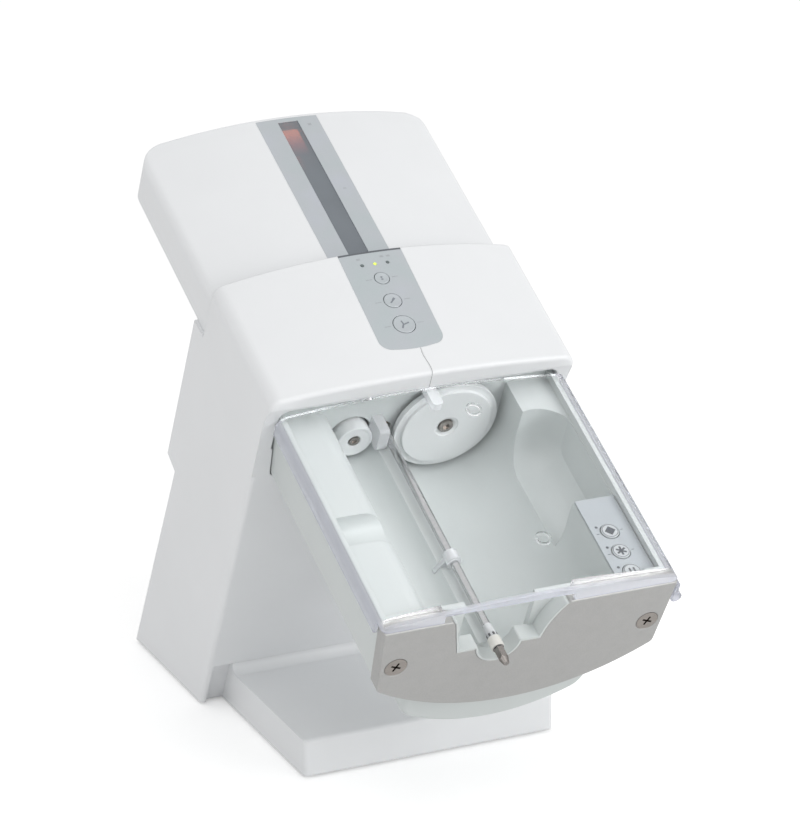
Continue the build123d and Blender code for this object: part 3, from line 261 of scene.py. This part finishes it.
def new_piece(name, points, faces, finish, body, smooth=True):
    """Mesh object from table points and faces, merged where it closes on itself."""
    mesh = bpy.data.meshes.new(name)
    mesh.from_pydata(np.asarray(points).reshape(-1, 3).tolist(), [], faces)
    bm = bmesh.new()
    bm.from_mesh(mesh)
    bmesh.ops.remove_doubles(bm, verts=bm.verts, dist=1e-7)
    bmesh.ops.recalc_face_normals(bm, faces=bm.faces)
    bm.to_mesh(mesh)
    bm.free()
    mesh.materials.append(finish)
    mesh.polygons.foreach_set("use_smooth", [smooth] * len(mesh.polygons))
    piece = bpy.data.objects.new(name, mesh)
    bpy.context.scene.collection.objects.link(piece)
    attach(piece, body)
    return piece


def grid_faces(rows, columns, start=0):
    """Quads between neighbours of a grid that is stored row by row."""
    first = (np.arange(rows - 1)[:, None] * columns + np.arange(columns - 1)).ravel() + start
    return np.stack([first, first + 1, first + columns + 1, first + columns], 1).tolist()


def turned(profile, x, z, count):
    """Profile of (radius, y) carried round an axis along y: each point goes to x plus radius times
    the cosine and z plus radius times the sine of the turn."""
    radius, y = np.asarray(profile, float).T
    turn = np.linspace(0, 2 * math.pi, count + 1)
    points = np.stack([
        x + radius[:, None] * np.cos(turn),
        np.broadcast_to(y[:, None], (len(y), count + 1)),
        z + radius[:, None] * np.sin(turn)], -1)
    return placed(points), grid_faces(len(y), count + 1)


def rounded_profile(corners, radius, steps=5):
    """Profile through the corners, each inner one cut back by the radius and bridged by a parabola
    that leaves and meets its two sides smoothly."""
    corners = np.asarray(corners, float)
    before, here, after = corners[:-2], corners[1:-1], corners[2:]

    def cut(target):
        step = target - here
        length = np.linalg.norm(step, axis=1, keepdims=True)
        return here + step / length * np.minimum(radius, length * 0.45)

    start, end = cut(before), cut(after)
    t = np.linspace(0, 1, steps)[None, :, None]
    bend = (1 - t) ** 2 * start[:, None] + 2 * t * (1 - t) * here[:, None] + t**2 * end[:, None]
    return np.vstack([corners[:1], bend.reshape(-1, 2), corners[-1:]])


def ring_points(x, y, inner, outer, count=48):
    """Flat ring in the plan: two circles about the same centre."""
    turn = np.linspace(0, 2 * math.pi, count + 1)
    radius = np.array([inner, outer])[:, None]
    return np.stack([x + radius * np.cos(turn), y + radius * np.sin(turn)], -1), grid_faces(2, count + 1)


def stroke(x0, y0, x1, y1, width, count=6):
    """Straight bar in the plan: a grid of two lines, half the width to each side of its middle."""
    t = np.linspace(0, 1, count)
    middle = np.stack([x0 + (x1 - x0) * t, y0 + (y1 - y0) * t], -1)
    along = np.array([x1 - x0, y1 - y0]) / math.hypot(x1 - x0, y1 - y0)
    side = np.array([-along[1], along[0]]) * width / 2
    return np.stack([middle - side, middle + side]), grid_faces(2, count)


def printed(name, shapes, height, finish, body):
    """Thin print on a surface: plan shapes lifted to the surface's height."""
    points, faces = [], []
    for plan, quads in shapes:
        start = sum(len(p) for p in points)
        flat = plan.reshape(-1, 2)
        points.append(np.column_stack([flat, height(flat[:, 0], flat[:, 1])]))
        faces += (np.asarray(quads) + start).tolist()
    return new_piece(name, placed(np.vstack(points)), faces, finish, body, smooth=False)


# Finishes

class Finish:
    """Node material whose patterns read Object coordinates."""

    def __init__(self, name):
        self.material = bpy.data.materials.new(name)
        self.material.use_nodes = True
        self.tree = self.material.node_tree
        self.shader = self.tree.nodes["Principled BSDF"]
        self.output = self.tree.nodes["Material Output"]
        self.place = self.node("ShaderNodeTexCoord").outputs["Object"]

    def node(self, kind, **settings):
        """New node with its settings."""
        made = self.tree.nodes.new(kind)
        for key, value in settings.items():
            setattr(made, key, value)
        return made

    def link(self, source, target):
        """Link from an output to an input."""
        self.tree.links.new(source, target)

    def feed(self, value, socket):
        """Link an output to an input, or set the input to a constant."""
        if isinstance(value, bpy.types.NodeSocket):
            self.link(value, socket)
        else:
            socket.default_value = value

    def set(self, **values):
        """Constant values, set on the shader's own sockets."""
        for key, value in values.items():
            socket = key.replace("_", " ").title().replace("Ior", "IOR")
            self.shader.inputs[socket].default_value = value

    def turned_place(self, stretch=(1, 1, 1)):
        """Object coordinates turned into the head's axes and stretched."""
        mapping = self.node("ShaderNodeMapping")
        mapping.inputs["Rotation"].default_value = (-TILT, 0, 0)
        mapping.inputs["Scale"].default_value = stretch
        self.link(self.place, mapping.inputs["Vector"])
        return mapping.outputs["Vector"]

    def axes(self, place):
        """The separate x, y and z of a place."""
        split = self.node("ShaderNodeSeparateXYZ")
        self.link(place, split.inputs[0])
        return split.outputs

    def maths(self, operation, first, second=0.0):
        """Math node on an output and a second output or number."""
        made = self.node("ShaderNodeMath", operation=operation)
        self.link(first, made.inputs[0])
        self.feed(second, made.inputs[1])
        return made.outputs[0]

    def span(self, source, start, end, low=0.0, high=1.0):
        """Values from start to end turned into values from low to high."""
        made = self.node("ShaderNodeMapRange")
        made.inputs["From Min"].default_value = start
        made.inputs["From Max"].default_value = end
        made.inputs["To Min"].default_value = low
        made.inputs["To Max"].default_value = high
        self.link(source, made.inputs["Value"])
        return made.outputs["Result"]

    def spread(self, source, low, high):
        """The usual span of a noise turned into a range of values."""
        return self.span(source, 0.3, 0.7, low, high)

    def noise(self, scale, detail, place=None):
        """Noise pattern on a place."""
        made = self.node("ShaderNodeTexNoise")
        made.inputs["Scale"].default_value = scale
        made.inputs["Detail"].default_value = detail
        self.link(place or self.place, made.inputs["Vector"])
        return made.outputs["Fac"]

    def ramp(self, source, stops):
        """Colour ramp through (place, colour) stops."""
        made = self.node("ShaderNodeValToRGB")
        elements = made.color_ramp.elements
        while len(elements) < len(stops):
            elements.new(0.5)
        for element, (at, colour) in zip(elements, stops):
            element.position = at
            element.color = (*colour, 1.0)
        self.link(source, made.inputs["Fac"])
        return made.outputs["Color"]

    def mix(self, share, first, second, blend="MIX"):
        """First colour where the share is 0, second or their blend where it is 1."""
        made = self.node("ShaderNodeMix", data_type="RGBA", blend_type=blend)
        self.feed(share, made.inputs[0])
        for socket, value in ((made.inputs[6], first), (made.inputs[7], second)):
            linked = isinstance(value, bpy.types.NodeSocket)
            self.feed(value if linked else (*value, 1.0), socket)
        return made.outputs[2]

    def base(self):
        """The output that gives the colour so far."""
        return self.shader.inputs["Base Color"].links[0].from_socket

    def colour(self, source):
        """Give the shader its colour."""
        self.link(source, self.shader.inputs["Base Color"])

    def roughness(self, source):
        """Give the shader its roughness."""
        self.link(source, self.shader.inputs["Roughness"])

    def bump(self, source, depth, radius=0.0):
        """Height from a pattern, over edges that are softened by the radius."""
        made = self.node("ShaderNodeBump")
        made.inputs["Distance"].default_value = depth
        made.inputs["Strength"].default_value = 1.0
        self.link(source, made.inputs["Height"])
        if radius:
            edge = self.node("ShaderNodeBevel", samples=4)
            edge.inputs["Radius"].default_value = radius
            self.link(edge.outputs["Normal"], made.inputs["Normal"])
        self.link(made.outputs["Normal"], self.shader.inputs["Normal"])

    def see_through(self, share, tint):
        """Let a share of what lies behind show straight through, in a tint."""
        straight = self.node("ShaderNodeBsdfTransparent")
        straight.inputs["Color"].default_value = (*tint, 1.0)
        blend = self.node("ShaderNodeMixShader")
        self.feed(share, blend.inputs[0])
        self.link(self.shader.outputs[0], blend.inputs[1])
        self.link(straight.outputs[0], blend.inputs[2])
        self.link(blend.outputs[0], self.output.inputs["Surface"])


def shades(colour, drop):
    """A slightly darker and a slightly lighter colour of the same hue."""
    return tuple(c * (1 - drop) for c in colour), tuple(min(c * (1 + drop * 0.4), 1.0) for c in colour)


def moulded(name, colour, gloss=(0.285, 0.325), drop=0.02, grain=1900, depth=0.000004, radius=0.0,
            drift=16):
    """Moulded plastic: a slow drift of shade, gloss that wanders, and a fine orange-peel bump."""
    made = Finish(name)
    low, high = shades(colour, drop)
    made.colour(made.ramp(made.noise(drift, 4), [(0.3, low), (0.7, high)]))
    made.roughness(made.spread(made.noise(85, 4), *gloss))
    made.bump(made.noise(grain, 2), depth, radius)
    return made


def cast(name, colour, gloss=(0.30, 0.42), metal=1.0, radius=0.0):
    """Blasted or cast metal: fine speckle in shade, gloss and height."""
    made = Finish(name)
    made.set(metallic=metal)
    low, high = shades(colour, 0.08)
    speckle = made.noise(2600, 3)
    made.colour(made.ramp(speckle, [(0.35, low), (0.65, high)]))
    made.roughness(made.spread(made.noise(140, 4), *gloss))
    made.bump(speckle, 0.00002, radius)
    return made


def lathed(name, colour, gloss=(0.14, 0.25)):
    """Turned steel: fine rings that run round an axis along the head."""
    made = Finish(name)
    made.set(metallic=1.0)
    rings = made.noise(1.0, 2, made.turned_place((60, 9000, 60)))
    low, high = shades(colour, 0.12)
    made.colour(made.ramp(rings, [(0.3, low), (0.7, high)]))
    made.roughness(made.spread(rings, *gloss))
    made.bump(rings, 0.000006)
    return made


def shaft_metal(name, colour, tip):
    """Turned steel whose tip, in front of the collar, is darker."""
    made = lathed(name, colour, gloss=(0.12, 0.22))
    along = made.axes(made.turned_place())["Y"]
    front = made.maths("LESS_THAN", along, HEAD_LEVEL + COLLAR_FRONT / MILLIMETRES)
    made.colour(made.mix(front, made.base(), tip))
    return made


def filmed(name, colour):
    """Silver film with a fine flake and a faint cool and warm drift."""
    made = Finish(name)
    made.set(metallic=0.35)
    red, green, blue = colour
    drift = made.ramp(made.noise(38, 2), [
        (0.30, (red * 0.95, green, blue * 0.975)),
        (0.55, colour),
        (0.72, (red * 1.02, green * 1.01, blue * 1.045))])
    flake = made.ramp(made.noise(5200, 2), [(0.35, (0.93, 0.93, 0.93)), (0.65, (1.0, 1.0, 1.0))])
    made.colour(made.mix(1.0, drift, flake, "MULTIPLY"))
    made.roughness(made.spread(made.noise(120, 4), 0.28, 0.38))
    made.bump(made.noise(5200, 2), 0.000006, SHEET_EDGE)
    return made


def clear(name, colour, ior, gloss=(0.01, 0.04), clarity=1.0):
    """Clear or frosted plastic that lets lamps through to what lies behind it."""
    made = Finish(name)
    made.set(transmission_weight=clarity, ior=ior)
    low, high = shades(colour, 0.012)
    made.colour(made.ramp(made.noise(22, 3), [(0.3, low), (0.7, high)]))
    made.roughness(made.spread(made.noise(60, 4), *gloss))
    made.bump(made.noise(34, 2), 0.00001)
    path = made.node("ShaderNodeLightPath")
    made.see_through(path.outputs["Is Shadow Ray"], (0.985, 0.99, 1.0))
    return made


def clear_with_painted_rim_sheen(name, colour, rim):
    """Clear plastic whose outer edges carry a painted sheen: a cool tint and less clarity that stand in
    for glancing reflections there.
    """
    made = clear(name, colour, 1.22)
    place = made.axes(made.turned_place())
    side = made.span(made.maths("ABSOLUTE", place["X"]), *LID_SIDE)
    front = made.span(place["Y"], *LID_FRONT)
    edge = made.maths("MAXIMUM", side, front)
    # Painted sheen: the outer edges take the cool rim colour and turn less clear, in place of the
    # glancing reflections there.
    made.colour(made.mix(edge, made.base(), rim))
    made.link(made.spread(edge, 1.0, RIM_SHEEN_CLARITY), made.shader.inputs["Transmission Weight"])
    return made


def smoked(name, colour):
    """Smoked window: glossy and dark, and partly see-through for the flag below."""
    made = Finish(name)
    low, high = shades(colour, 0.10)
    made.colour(made.ramp(made.noise(30, 3), [(0.3, low), (0.7, high)]))
    made.roughness(made.spread(made.noise(110, 3), 0.10, 0.18))
    made.bump(made.noise(800, 2), 0.000004)
    made.see_through(0.35, (0.80, 0.80, 0.82))
    return made


def flag_with_painted_glow(name, colour):
    """Orange flag with a painted glow, though it is no lamp: it emits most at its rear end, and painted
    shade fades it to a dull red and near black towards the front.
    """
    made = moulded(name, colour, gloss=(0.35, 0.5))
    # Painted glow and painted shade: the flag emits though it is no lamp, brightest at its rear end and
    # darker towards the front under the window.
    made.set(emission_strength=3.2)
    painted_fade = made.span(made.axes(made.turned_place())["Y"], *FLAG_PAINTED_GLOW)
    glow = made.ramp(painted_fade, [(0.0, (0.02, 0.004, 0.01)), (0.5, (0.35, 0.06, 0.05)), (1.0, colour)])
    made.link(glow, made.shader.inputs["Emission Color"])
    return made


def lamp_lens(name, colour):
    """Lamp lenses: the middle one is lit, its neighbours are dark grey."""
    made = Finish(name)
    lit = made.maths("LESS_THAN", made.maths("ABSOLUTE", made.axes(made.place)["X"]), LIT_LAMP_HALF)
    grey = made.ramp(made.noise(900, 2), [(0.3, (0.11, 0.14, 0.14)), (0.7, (0.17, 0.20, 0.20))])
    made.colour(made.mix(lit, grey, colour))
    made.link(made.mix(lit, (0.0, 0.0, 0.0), colour), made.shader.inputs["Emission Color"])
    made.set(emission_strength=0.55)
    made.roughness(made.spread(made.noise(400, 2), 0.15, 0.25))
    return made


def ink(name, colour):
    """Printed ink with a slightly uneven coverage."""
    return moulded(name, colour, gloss=(0.35, 0.5), drop=0.14, grain=4000, drift=900).material


def white_finishes(colours, soft):
    """Housing, foot, discs and collar."""
    shell = tuple(colours.shell)
    return [
        moulded("white_shell_finish", shell, radius=soft),
        moulded("rear_shell_finish", shell, gloss=(0.29, 0.33), radius=soft),
        moulded("foot_shell_finish", shell, gloss=(0.30, 0.34), radius=soft),
        moulded("back_white_finish", shell, gloss=(0.30, 0.36), radius=SHEET_EDGE),
        moulded("under_shell_finish", shades(shell, 0.1)[0], gloss=(0.45, 0.6), depth=0.00004),
        moulded("plunger_white_finish", tuple(colours.plunger), gloss=(0.29, 0.34), radius=SMALL_EDGE),
        moulded("sleeve_white_finish", tuple(colours.sleeve), gloss=(0.3, 0.4), radius=0.0002),
    ]


def panel_finishes(colours):
    """Strip, window, panel, its keys and lamps, and the level flag."""
    silver = tuple(colours.silver)
    return [
        filmed("silver_trim_finish", silver),
        filmed("panel_silver_finish", silver),
        filmed("panel_key_finish", silver),
        smoked("window_smoke_finish", tuple(colours.window)),
        lamp_lens("lamp_lens_finish", tuple(colours.lamp)),
        flag_with_painted_glow("flag_orange_finish", tuple(colours.flag)),
    ]


def bay_finishes(colours, soft):
    """Cartridge bay with its keys, front plate, lid, clear parts, screws and shaft."""
    tray = tuple(colours.tray)
    return [
        moulded("tray_tint_finish", tray, gloss=(0.285, 0.33), drop=0.025, radius=soft),
        # The belly takes the tray's colour 4% darker, as painted shade for its underside.
        moulded("belly_tint_finish", shades(tray, 0.04)[0], gloss=(0.29, 0.34), radius=soft),
        moulded("key_plate_finish", tuple(colours.key_plate), gloss=(0.34, 0.44), radius=SMALL_EDGE),
        moulded("tray_key_finish", tuple(colours.tray_key), gloss=(0.30, 0.4), radius=SMALL_EDGE),
        cast("plate_metal_finish", tuple(colours.plate), (0.40, 0.52), metal=0.75, radius=SHEET_EDGE),
        clear_with_painted_rim_sheen("clear_lid_finish", tuple(colours.lid), tuple(colours.rim)),
        clear("clear_part_finish", (0.91, 0.925, 0.935), 1.2, gloss=(0.10, 0.20), clarity=0.55),
        lathed("screw_steel_finish", tuple(colours.screw), gloss=(0.15, 0.26)),
        shaft_metal("shaft_steel_finish", tuple(colours.shaft), tuple(colours.tip)),
    ]


def inner_finishes():
    """Drive, chassis, electronics, switch, inlet and rubber feet."""
    return [
        cast("bronze_finish", (0.46, 0.26, 0.10)),
        cast("carriage_metal_finish", (0.42, 0.43, 0.45), radius=SHEET_EDGE),
        cast("chassis_metal_finish", (0.50, 0.51, 0.53), gloss=(0.36, 0.5)),
        cast("motor_can_finish", (0.20, 0.21, 0.22), gloss=(0.3, 0.45)),
        lathed("pulley_metal_finish", (0.55, 0.56, 0.58)),
        moulded("belt_rubber_finish", (0.025, 0.026, 0.028), gloss=(0.6, 0.8), depth=0.00008),
        moulded("board_green_finish", (0.03, 0.14, 0.06), gloss=(0.35, 0.5), grain=900, depth=0.00005),
        moulded("black_plastic_finish", (0.030, 0.031, 0.034), gloss=(0.3, 0.42), radius=SMALL_EDGE),
        moulded("rubber_foot_finish", (0.045, 0.045, 0.047), gloss=(0.65, 0.85), depth=0.00008),
    ]


def all_finishes(colours, soft):
    """One finish, named SLOT_finish, for each material slot of the record."""
    made = white_finishes(colours, soft) + panel_finishes(colours)
    made += bay_finishes(colours, soft) + inner_finishes()
    return {finish.material.name.removesuffix("_finish"): finish.material for finish in made}


def finish_of(slot):
    """The finish made for a slot."""
    return bpy.data.materials[slot + "_finish"]


# Operators

class MIXER_OT_finishes(bpy.types.Operator):
    """Make a procedural finish for every material slot and give it to the CAD nodes."""

    bl_idname = "mixer.finishes"
    bl_label = "Finishes"

    def execute(self, context):
        made = all_finishes(context.scene.mixer_colours, context.scene.mixer_sizes.edge)
        for node in NODES.values():
            slot = node.data.materials[0].name
            node.data.materials[0] = made[slot]
        return {"FINISHED"}


class MIXER_OT_plungers(bpy.types.Operator):
    """Make both plunger discs as turned pieces with a bead, a dish and a screw recess."""

    bl_idname = "mixer.plungers"
    bl_label = "Plungers"

    def execute(self, context):
        white = finish_of("plunger_white")
        for name, section, softness, x, node in (
                ("big_disc", BIG_SECTION, 0.5, BIG_X, "big_plunger"),
                ("small_disc", SMALL_SECTION, 0.6, SMALL_X, "small_plunger")):
            corners = [(radius, FACE_Y + depth) for radius, depth in section]
            points, faces = turned(rounded_profile(corners, softness), x, AXIS_Z, 128)
            piece = new_piece(name, points, faces, white, "plunger_carriage")
            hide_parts(node)
        return {"FINISHED"}


class MIXER_OT_sleeve(bpy.types.Operator):
    """Make the shaft's white collar, the clear sleeve behind it with dark patches of painted shade for
    its slots, and a dark ring in front that is painted shade for the gap in the collar's bore."""

    bl_idname = "mixer.sleeve"
    bl_label = "Shaft sleeve"

    def execute(self, context):
        # The dark ink is painted shade, for the sleeve's slots and for the gap in the collar's bore.
        dark = ink("sleeve_painted_shade_ink", (0.06, 0.06, 0.065))
        collar = self.ring("shaft_collar", self.collar(), finish_of("sleeve_white"), "sleeve_white")
        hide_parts("shaft_sleeve")
        self.ring("rear_sleeve", self.sleeve(), finish_of("clear_part"), "clear_part")
        self.ring("collar_bore_shade", self.bore_shade_ring(), dark, "black_plastic")
        self.slots(dark)
        return {"FINISHED"}

    def collar(self):
        """Half section of the white collar."""
        front, rear = COLLAR_FRONT, COLLAR_REAR
        return [(2.35, front), (3.5, front), (3.6, front + 0.5), (3.6, rear - 0.4), (3.1, rear),
                (2.35, rear), (2.35, front)]

    def sleeve(self):
        """Half section of the clear sleeve, which narrows behind the slots."""
        front, rear = COLLAR_REAR, SLEEVE_REAR
        return [(2.3, front + 0.05), (3.1, front + 0.05), (3.1, front + 2.6), (2.7, front + 3.0),
                (2.55, rear), (2.3, rear), (2.3, front + 0.05)]

    def bore_shade_ring(self):
        """Half section of the dark ring, painted shade for the gap where the shaft leaves the collar's
        bore.
        """
        rear = COLLAR_FRONT
        return [(2.0, rear - 0.1), (2.9, rear - 0.1), (3.1, rear - 0.3), (2.9, rear - 0.6),
                (2.0, rear - 0.6), (2.0, rear - 0.1)]

    def ring(self, name, corners, finish, slot):
        """Half section turned round the shaft."""
        points, faces = turned(rounded_profile(corners, 0.2), SHAFT_X, AXIS_Z, 64)
        return new_piece(name, points, faces, finish, "mixer")

    def slots(self, dark):
        """Dark patches round the sleeve, painted shade for its slots: a grid on a cylinder, whose x and z
        are its radius times the cosine and the sine of the angle."""
        turn = np.linspace(0, 2 * math.pi, SLOTS + 1)[:-1, None, None]
        across = np.linspace(-0.2, 0.2, 4)[None, :, None]
        along = np.linspace(COLLAR_REAR + 0.4, COLLAR_REAR + 2.2, 3)[None, None, :]
        angle = turn + across + along * 0
        grid = placed(np.stack([
            SHAFT_X + SLOT_RADIUS * np.cos(angle), along + angle * 0,
            AXIS_Z + SLOT_RADIUS * np.sin(angle)], -1))
        faces = sum((grid_faces(4, 3, 12 * k) for k in range(SLOTS)), [])
        new_piece("sleeve_slot_shade", grid, faces, dark, "mixer", smooth=False)


class MIXER_OT_panel_print(bpy.types.Operator):
    """Print the panel: a dark line of painted shadow for the gap along its rear edge, dashes beside the
    keys and marks at the lamps.
    """

    bl_idname = "mixer.panel_print"
    bl_label = "Panel print"

    def execute(self, context):
        width = context.scene.mixer_sizes.mark * MILLIMETRES
        faint = ink("faint_ink", tuple(c * 0.80 for c in context.scene.mixer_colours.silver))
        # The dark ink is painted shadow for the gap along the panel's rear edge.
        dark = ink("panel_painted_shadow_ink", tuple(context.scene.mixer_colours.marks))
        marks = []
        for y, radius in PANEL_KEYS:
            near, far = radius + DASH_GAP, radius + DASH_GAP + DASH_LENGTH
            marks.append(stroke(-far, y, -near, y, width))
            marks.append(stroke(near, y, far, y, width))
        for x in LAMP_LABELS:
            marks.append(stroke(x, LAMP_LABEL_Y, x + 2.2, LAMP_LABEL_Y, 1.2))
        printed("panel_marks", marks, panel_surface, faint, "base")
        edge = [stroke(-REAR_SHADOW_LINE_HALF, REAR_SHADOW_LINE_Y, REAR_SHADOW_LINE_HALF, REAR_SHADOW_LINE_Y, 1.2, 24)]
        printed("panel_rear_shadow_line", edge, panel_surface, dark, "base")
        strip = [stroke(11.0, 207.5, 13.0, 207.5, 1.9), stroke(11.3, 152.6, 13.2, 152.6, 0.8)]
        printed("strip_marks", strip, strip_surface, faint, "base")
        return {"FINISHED"}


class MIXER_OT_key_marks(bpy.types.Operator):
    """Print a plain symbol on each key, and a ring, dashes and a dot round each tray key."""

    bl_idname = "mixer.key_marks"
    bl_label = "Key marks"

    def execute(self, context):
        width = context.scene.mixer_sizes.mark * MILLIMETRES
        marks = tuple(context.scene.mixer_colours.marks)
        self.panel_keys(ink("panel_key_ink", tuple(c * 1.9 for c in marks)))
        self.tray_keys(ink("tray_key_ink", tuple(c * 0.8 for c in marks)), width)
        return {"FINISHED"}

    def panel_keys(self, finish):
        """Symbols on the panel's keys, which ride with them."""
        for number, ((y, radius), bars) in enumerate(zip(PANEL_KEYS, PANEL_SYMBOLS), start=1):
            symbol = [stroke(*bar) for bar in bars]
            shapes = [(plan * SYMBOL_SCALE + np.array([0, y]), quads) for plan, quads in symbol]
            printed(f"panel_symbol_{number}", shapes, key_surface(y, radius), finish,
                    f"panel_button_{number}")

    def tray_keys(self, finish, width):
        """Symbols and rings on the bay's keys, which ride with them, and the marks on the plate."""
        x, surround = TRAY_KEY_X, []
        for number, (y, bars) in enumerate(TRAY_KEYS, start=1):
            shapes = [(plan + np.array([x, y]), quads) for plan, quads in (stroke(*bar) for bar in bars)]
            shapes.append(ring_points(x, y, *TRAY_KEY_RING))
            printed(f"tray_symbol_{number}", shapes, level_surface(TRAY_KEY_PRINT_Z), finish,
                    f"keypad_button_{number}")
            surround.append(stroke(x - 8.0, y - 0.6, x - 6.4, y - 0.6, width))
            surround.append(stroke(x + 6.2, y + 0.2, x + 7.8, y + 0.2, width))
            surround.append(ring_points(x - 6.2, y + 4.3, 0.0, 0.85, 24))
        printed("tray_marks", surround, level_surface(KEY_PLATE_PRINT_Z), finish, "base")


class MIXER_OT_seam(bpy.types.Operator):
    """Draw the fine joint line between the housing halves, over the hood's rounded front edge and down
    its lip."""

    bl_idname = "mixer.seam"
    bl_label = "Housing seam"

    def execute(self, context):
        half = context.scene.mixer_sizes.seam * MILLIMETRES / 2
        path = self.path()
        grid = np.stack([path - [half, 0, 0], path + [half, 0, 0]])
        dark = ink("seam_shadow", (0.28, 0.285, 0.29))
        new_piece("housing_seam", placed(grid), grid_faces(2, len(path)), dark, "base",
                  smooth=False)
        return {"FINISHED"}

    def path(self):
        """Line on the hood: along its top, round a quarter circle at the edge, straight down, and
        swaying sideways by a sine."""
        lean = math.atan2(HOOD_RISE, HOOD_LENGTH)
        turn = np.linspace(lean, math.pi / 2, 9)
        radius = HOOD_EDGE + SEAM_LIFT
        middle = hood_height(SEAM_X, 0.0) + HOOD_EDGE * (math.tan(lean) - 1 / math.cos(lean))
        top = np.linspace(SEAM_REAR, HOOD_EDGE, 18)
        y = np.concatenate([top, HOOD_EDGE - radius * np.sin(turn), np.full(5, -SEAM_LIFT)])
        z = np.concatenate([hood_height(SEAM_X, top) + SEAM_LIFT, middle + radius * np.cos(turn),
                            np.linspace(middle - 1.0, SEAM_LOW, 5)])
        x = SEAM_X + SEAM_SWAY * np.sin(np.clip(y, 0, 18) / 18 * math.pi * 2)
        return np.stack([x, y, z], -1)


class MIXER_OT_stage(bpy.types.Operator):
    """Set the pale floor, the backdrop, the soft lamps and the camera."""

    bl_idname = "mixer.stage"
    bl_label = "Stage"

    def execute(self, context):
        scene = context.scene
        level = scene.mixer_sizes.light
        scene.view_settings.view_transform = "Standard"
        self.floor(scene, tuple(scene.mixer_colours.floor))
        self.world(scene, level)
        for name, place, width, power in LAMPS:
            self.lamp(scene, name, place, width, power * level)
        self.camera(scene)
        return {"FINISHED"}

    def floor(self, scene, colour):
        """Wide shallow bowl: height grows with the cube of the distance past the flat middle."""
        steps = np.linspace(-FLOOR_HALF, FLOOR_HALF, FLOOR_LINES)
        x, y = np.meshgrid(steps, steps, indexing="ij")
        z = FLOOR_CURVE * np.clip(np.hypot(x, y) - FLOOR_FLAT, 0, None) ** 3
        mesh = bpy.data.meshes.new("pale_floor")
        mesh.from_pydata(
            np.stack([x, y, z], -1).reshape(-1, 3).tolist(), [], grid_faces(FLOOR_LINES, FLOOR_LINES))
        made = moulded("pale_floor_finish", colour, gloss=(0.7, 0.8), drop=0.01)
        path = made.node("ShaderNodeLightPath")
        glow = made.maths("MULTIPLY", path.outputs["Is Camera Ray"], FLOOR_GLOW)
        made.link(glow, made.shader.inputs["Emission Strength"])
        made.set(emission_color=(1, 1, 1, 1))
        mesh.materials.append(made.material)
        floor = bpy.data.objects.new("pale_floor", mesh)
        scene.collection.objects.link(floor)

    def world(self, scene, level):
        """White to the camera, to gloss and through glass, and a plain level for the light it gives."""
        world = bpy.data.worlds.new("soft_room")
        scene.world = world
        world.use_nodes = True
        tree = world.node_tree
        background = tree.nodes["Background"]
        background.inputs["Color"].default_value = (1.0, 1.0, 1.0, 1.0)
        rays = tree.nodes.new("ShaderNodeLightPath").outputs
        seen = rays["Is Camera Ray"]
        for other in (rays["Is Glossy Ray"], rays["Is Transmission Ray"]):
            larger = tree.nodes.new("ShaderNodeMath")
            larger.operation = "MAXIMUM"
            tree.links.new(seen, larger.inputs[0])
            tree.links.new(other, larger.inputs[1])
            seen = larger.outputs[0]
        span = tree.nodes.new("ShaderNodeMapRange")
        span.inputs["To Min"].default_value = ROOM_LIGHT * level
        span.inputs["To Max"].default_value = 1.0
        tree.links.new(seen, span.inputs["Value"])
        tree.links.new(span.outputs["Result"], background.inputs["Strength"])

    def lamp(self, scene, name, place, width, power):
        """Round soft lamp that faces the part."""
        light = bpy.data.lights.new(name, "AREA")
        light.shape = "DISK"
        light.size = width
        light.energy = power
        lamp = bpy.data.objects.new(name, light)
        lamp.location = place
        aim = Vector(LAMP_AIM) - Vector(place)
        lamp.rotation_euler = aim.to_track_quat("-Z", "Y").to_euler()
        scene.collection.objects.link(lamp)

    def camera(self, scene):
        """Camera at the photograph's place, turned by its own axes."""
        back = Vector(CAMERA_BACK).normalized()
        turn, roll = math.radians(CAMERA_TURN), math.radians(CAMERA_ROLL)
        right = Vector((math.cos(turn), math.sin(turn), 0))
        up = back.cross(right)
        right, up = (math.cos(roll) * right + math.sin(roll) * up,
                     math.cos(roll) * up - math.sin(roll) * right)
        data = bpy.data.cameras.new("front_camera")
        data.sensor_width = SENSOR
        data.lens = CAMERA_FOCAL / PHOTO_HEIGHT * SENSOR
        data.clip_end = 20
        camera = bpy.data.objects.new("front_camera", data)
        axes = Matrix((right, up, back)).transposed().to_4x4()
        camera.matrix_world = Matrix.Translation(CAMERA_PLACE) @ axes
        scene.collection.objects.link(camera)
        scene.camera = camera


OPERATORS = (
    MIXER_OT_finishes, MIXER_OT_plungers, MIXER_OT_sleeve, MIXER_OT_panel_print, MIXER_OT_key_marks,
    MIXER_OT_seam, MIXER_OT_stage)


class MIXER_PT_panel(bpy.types.Panel):
    """Sizes, colours and steps of the mixer."""

    bl_idname = "MIXER_PT_panel"
    bl_label = "Impression mixer"
    bl_space_type = "VIEW_3D"
    bl_region_type = "UI"
    bl_category = "Mixer"

    def draw(self, context):
        """Show the settings and a button for each step."""
        for group in (context.scene.mixer_colours, context.scene.mixer_sizes):
            for key in group.__annotations__:
                self.layout.prop(group, key)
        for operator in OPERATORS:
            self.layout.operator(operator.bl_idname)


CLASSES = (MixerColours, MixerSizes, *OPERATORS, MIXER_PT_panel)


def register():
    """Add the classes and the settings."""
    for cls in CLASSES:
        bpy.utils.register_class(cls)
    bpy.types.Scene.mixer_colours = bpy.props.PointerProperty(type=MixerColours)
    bpy.types.Scene.mixer_sizes = bpy.props.PointerProperty(type=MixerSizes)


def unregister():
    """Take the add-on's classes and settings out again."""
    del bpy.types.Scene.mixer_sizes
    del bpy.types.Scene.mixer_colours
    for cls in reversed(CLASSES):
        bpy.utils.unregister_class(cls)


def main():
    """Run every step in order."""
    register()
    for operator in OPERATORS:
        group, name = operator.bl_idname.split(".")
        getattr(getattr(bpy.ops, group), name)()


if __name__ == "__main__":
    main()
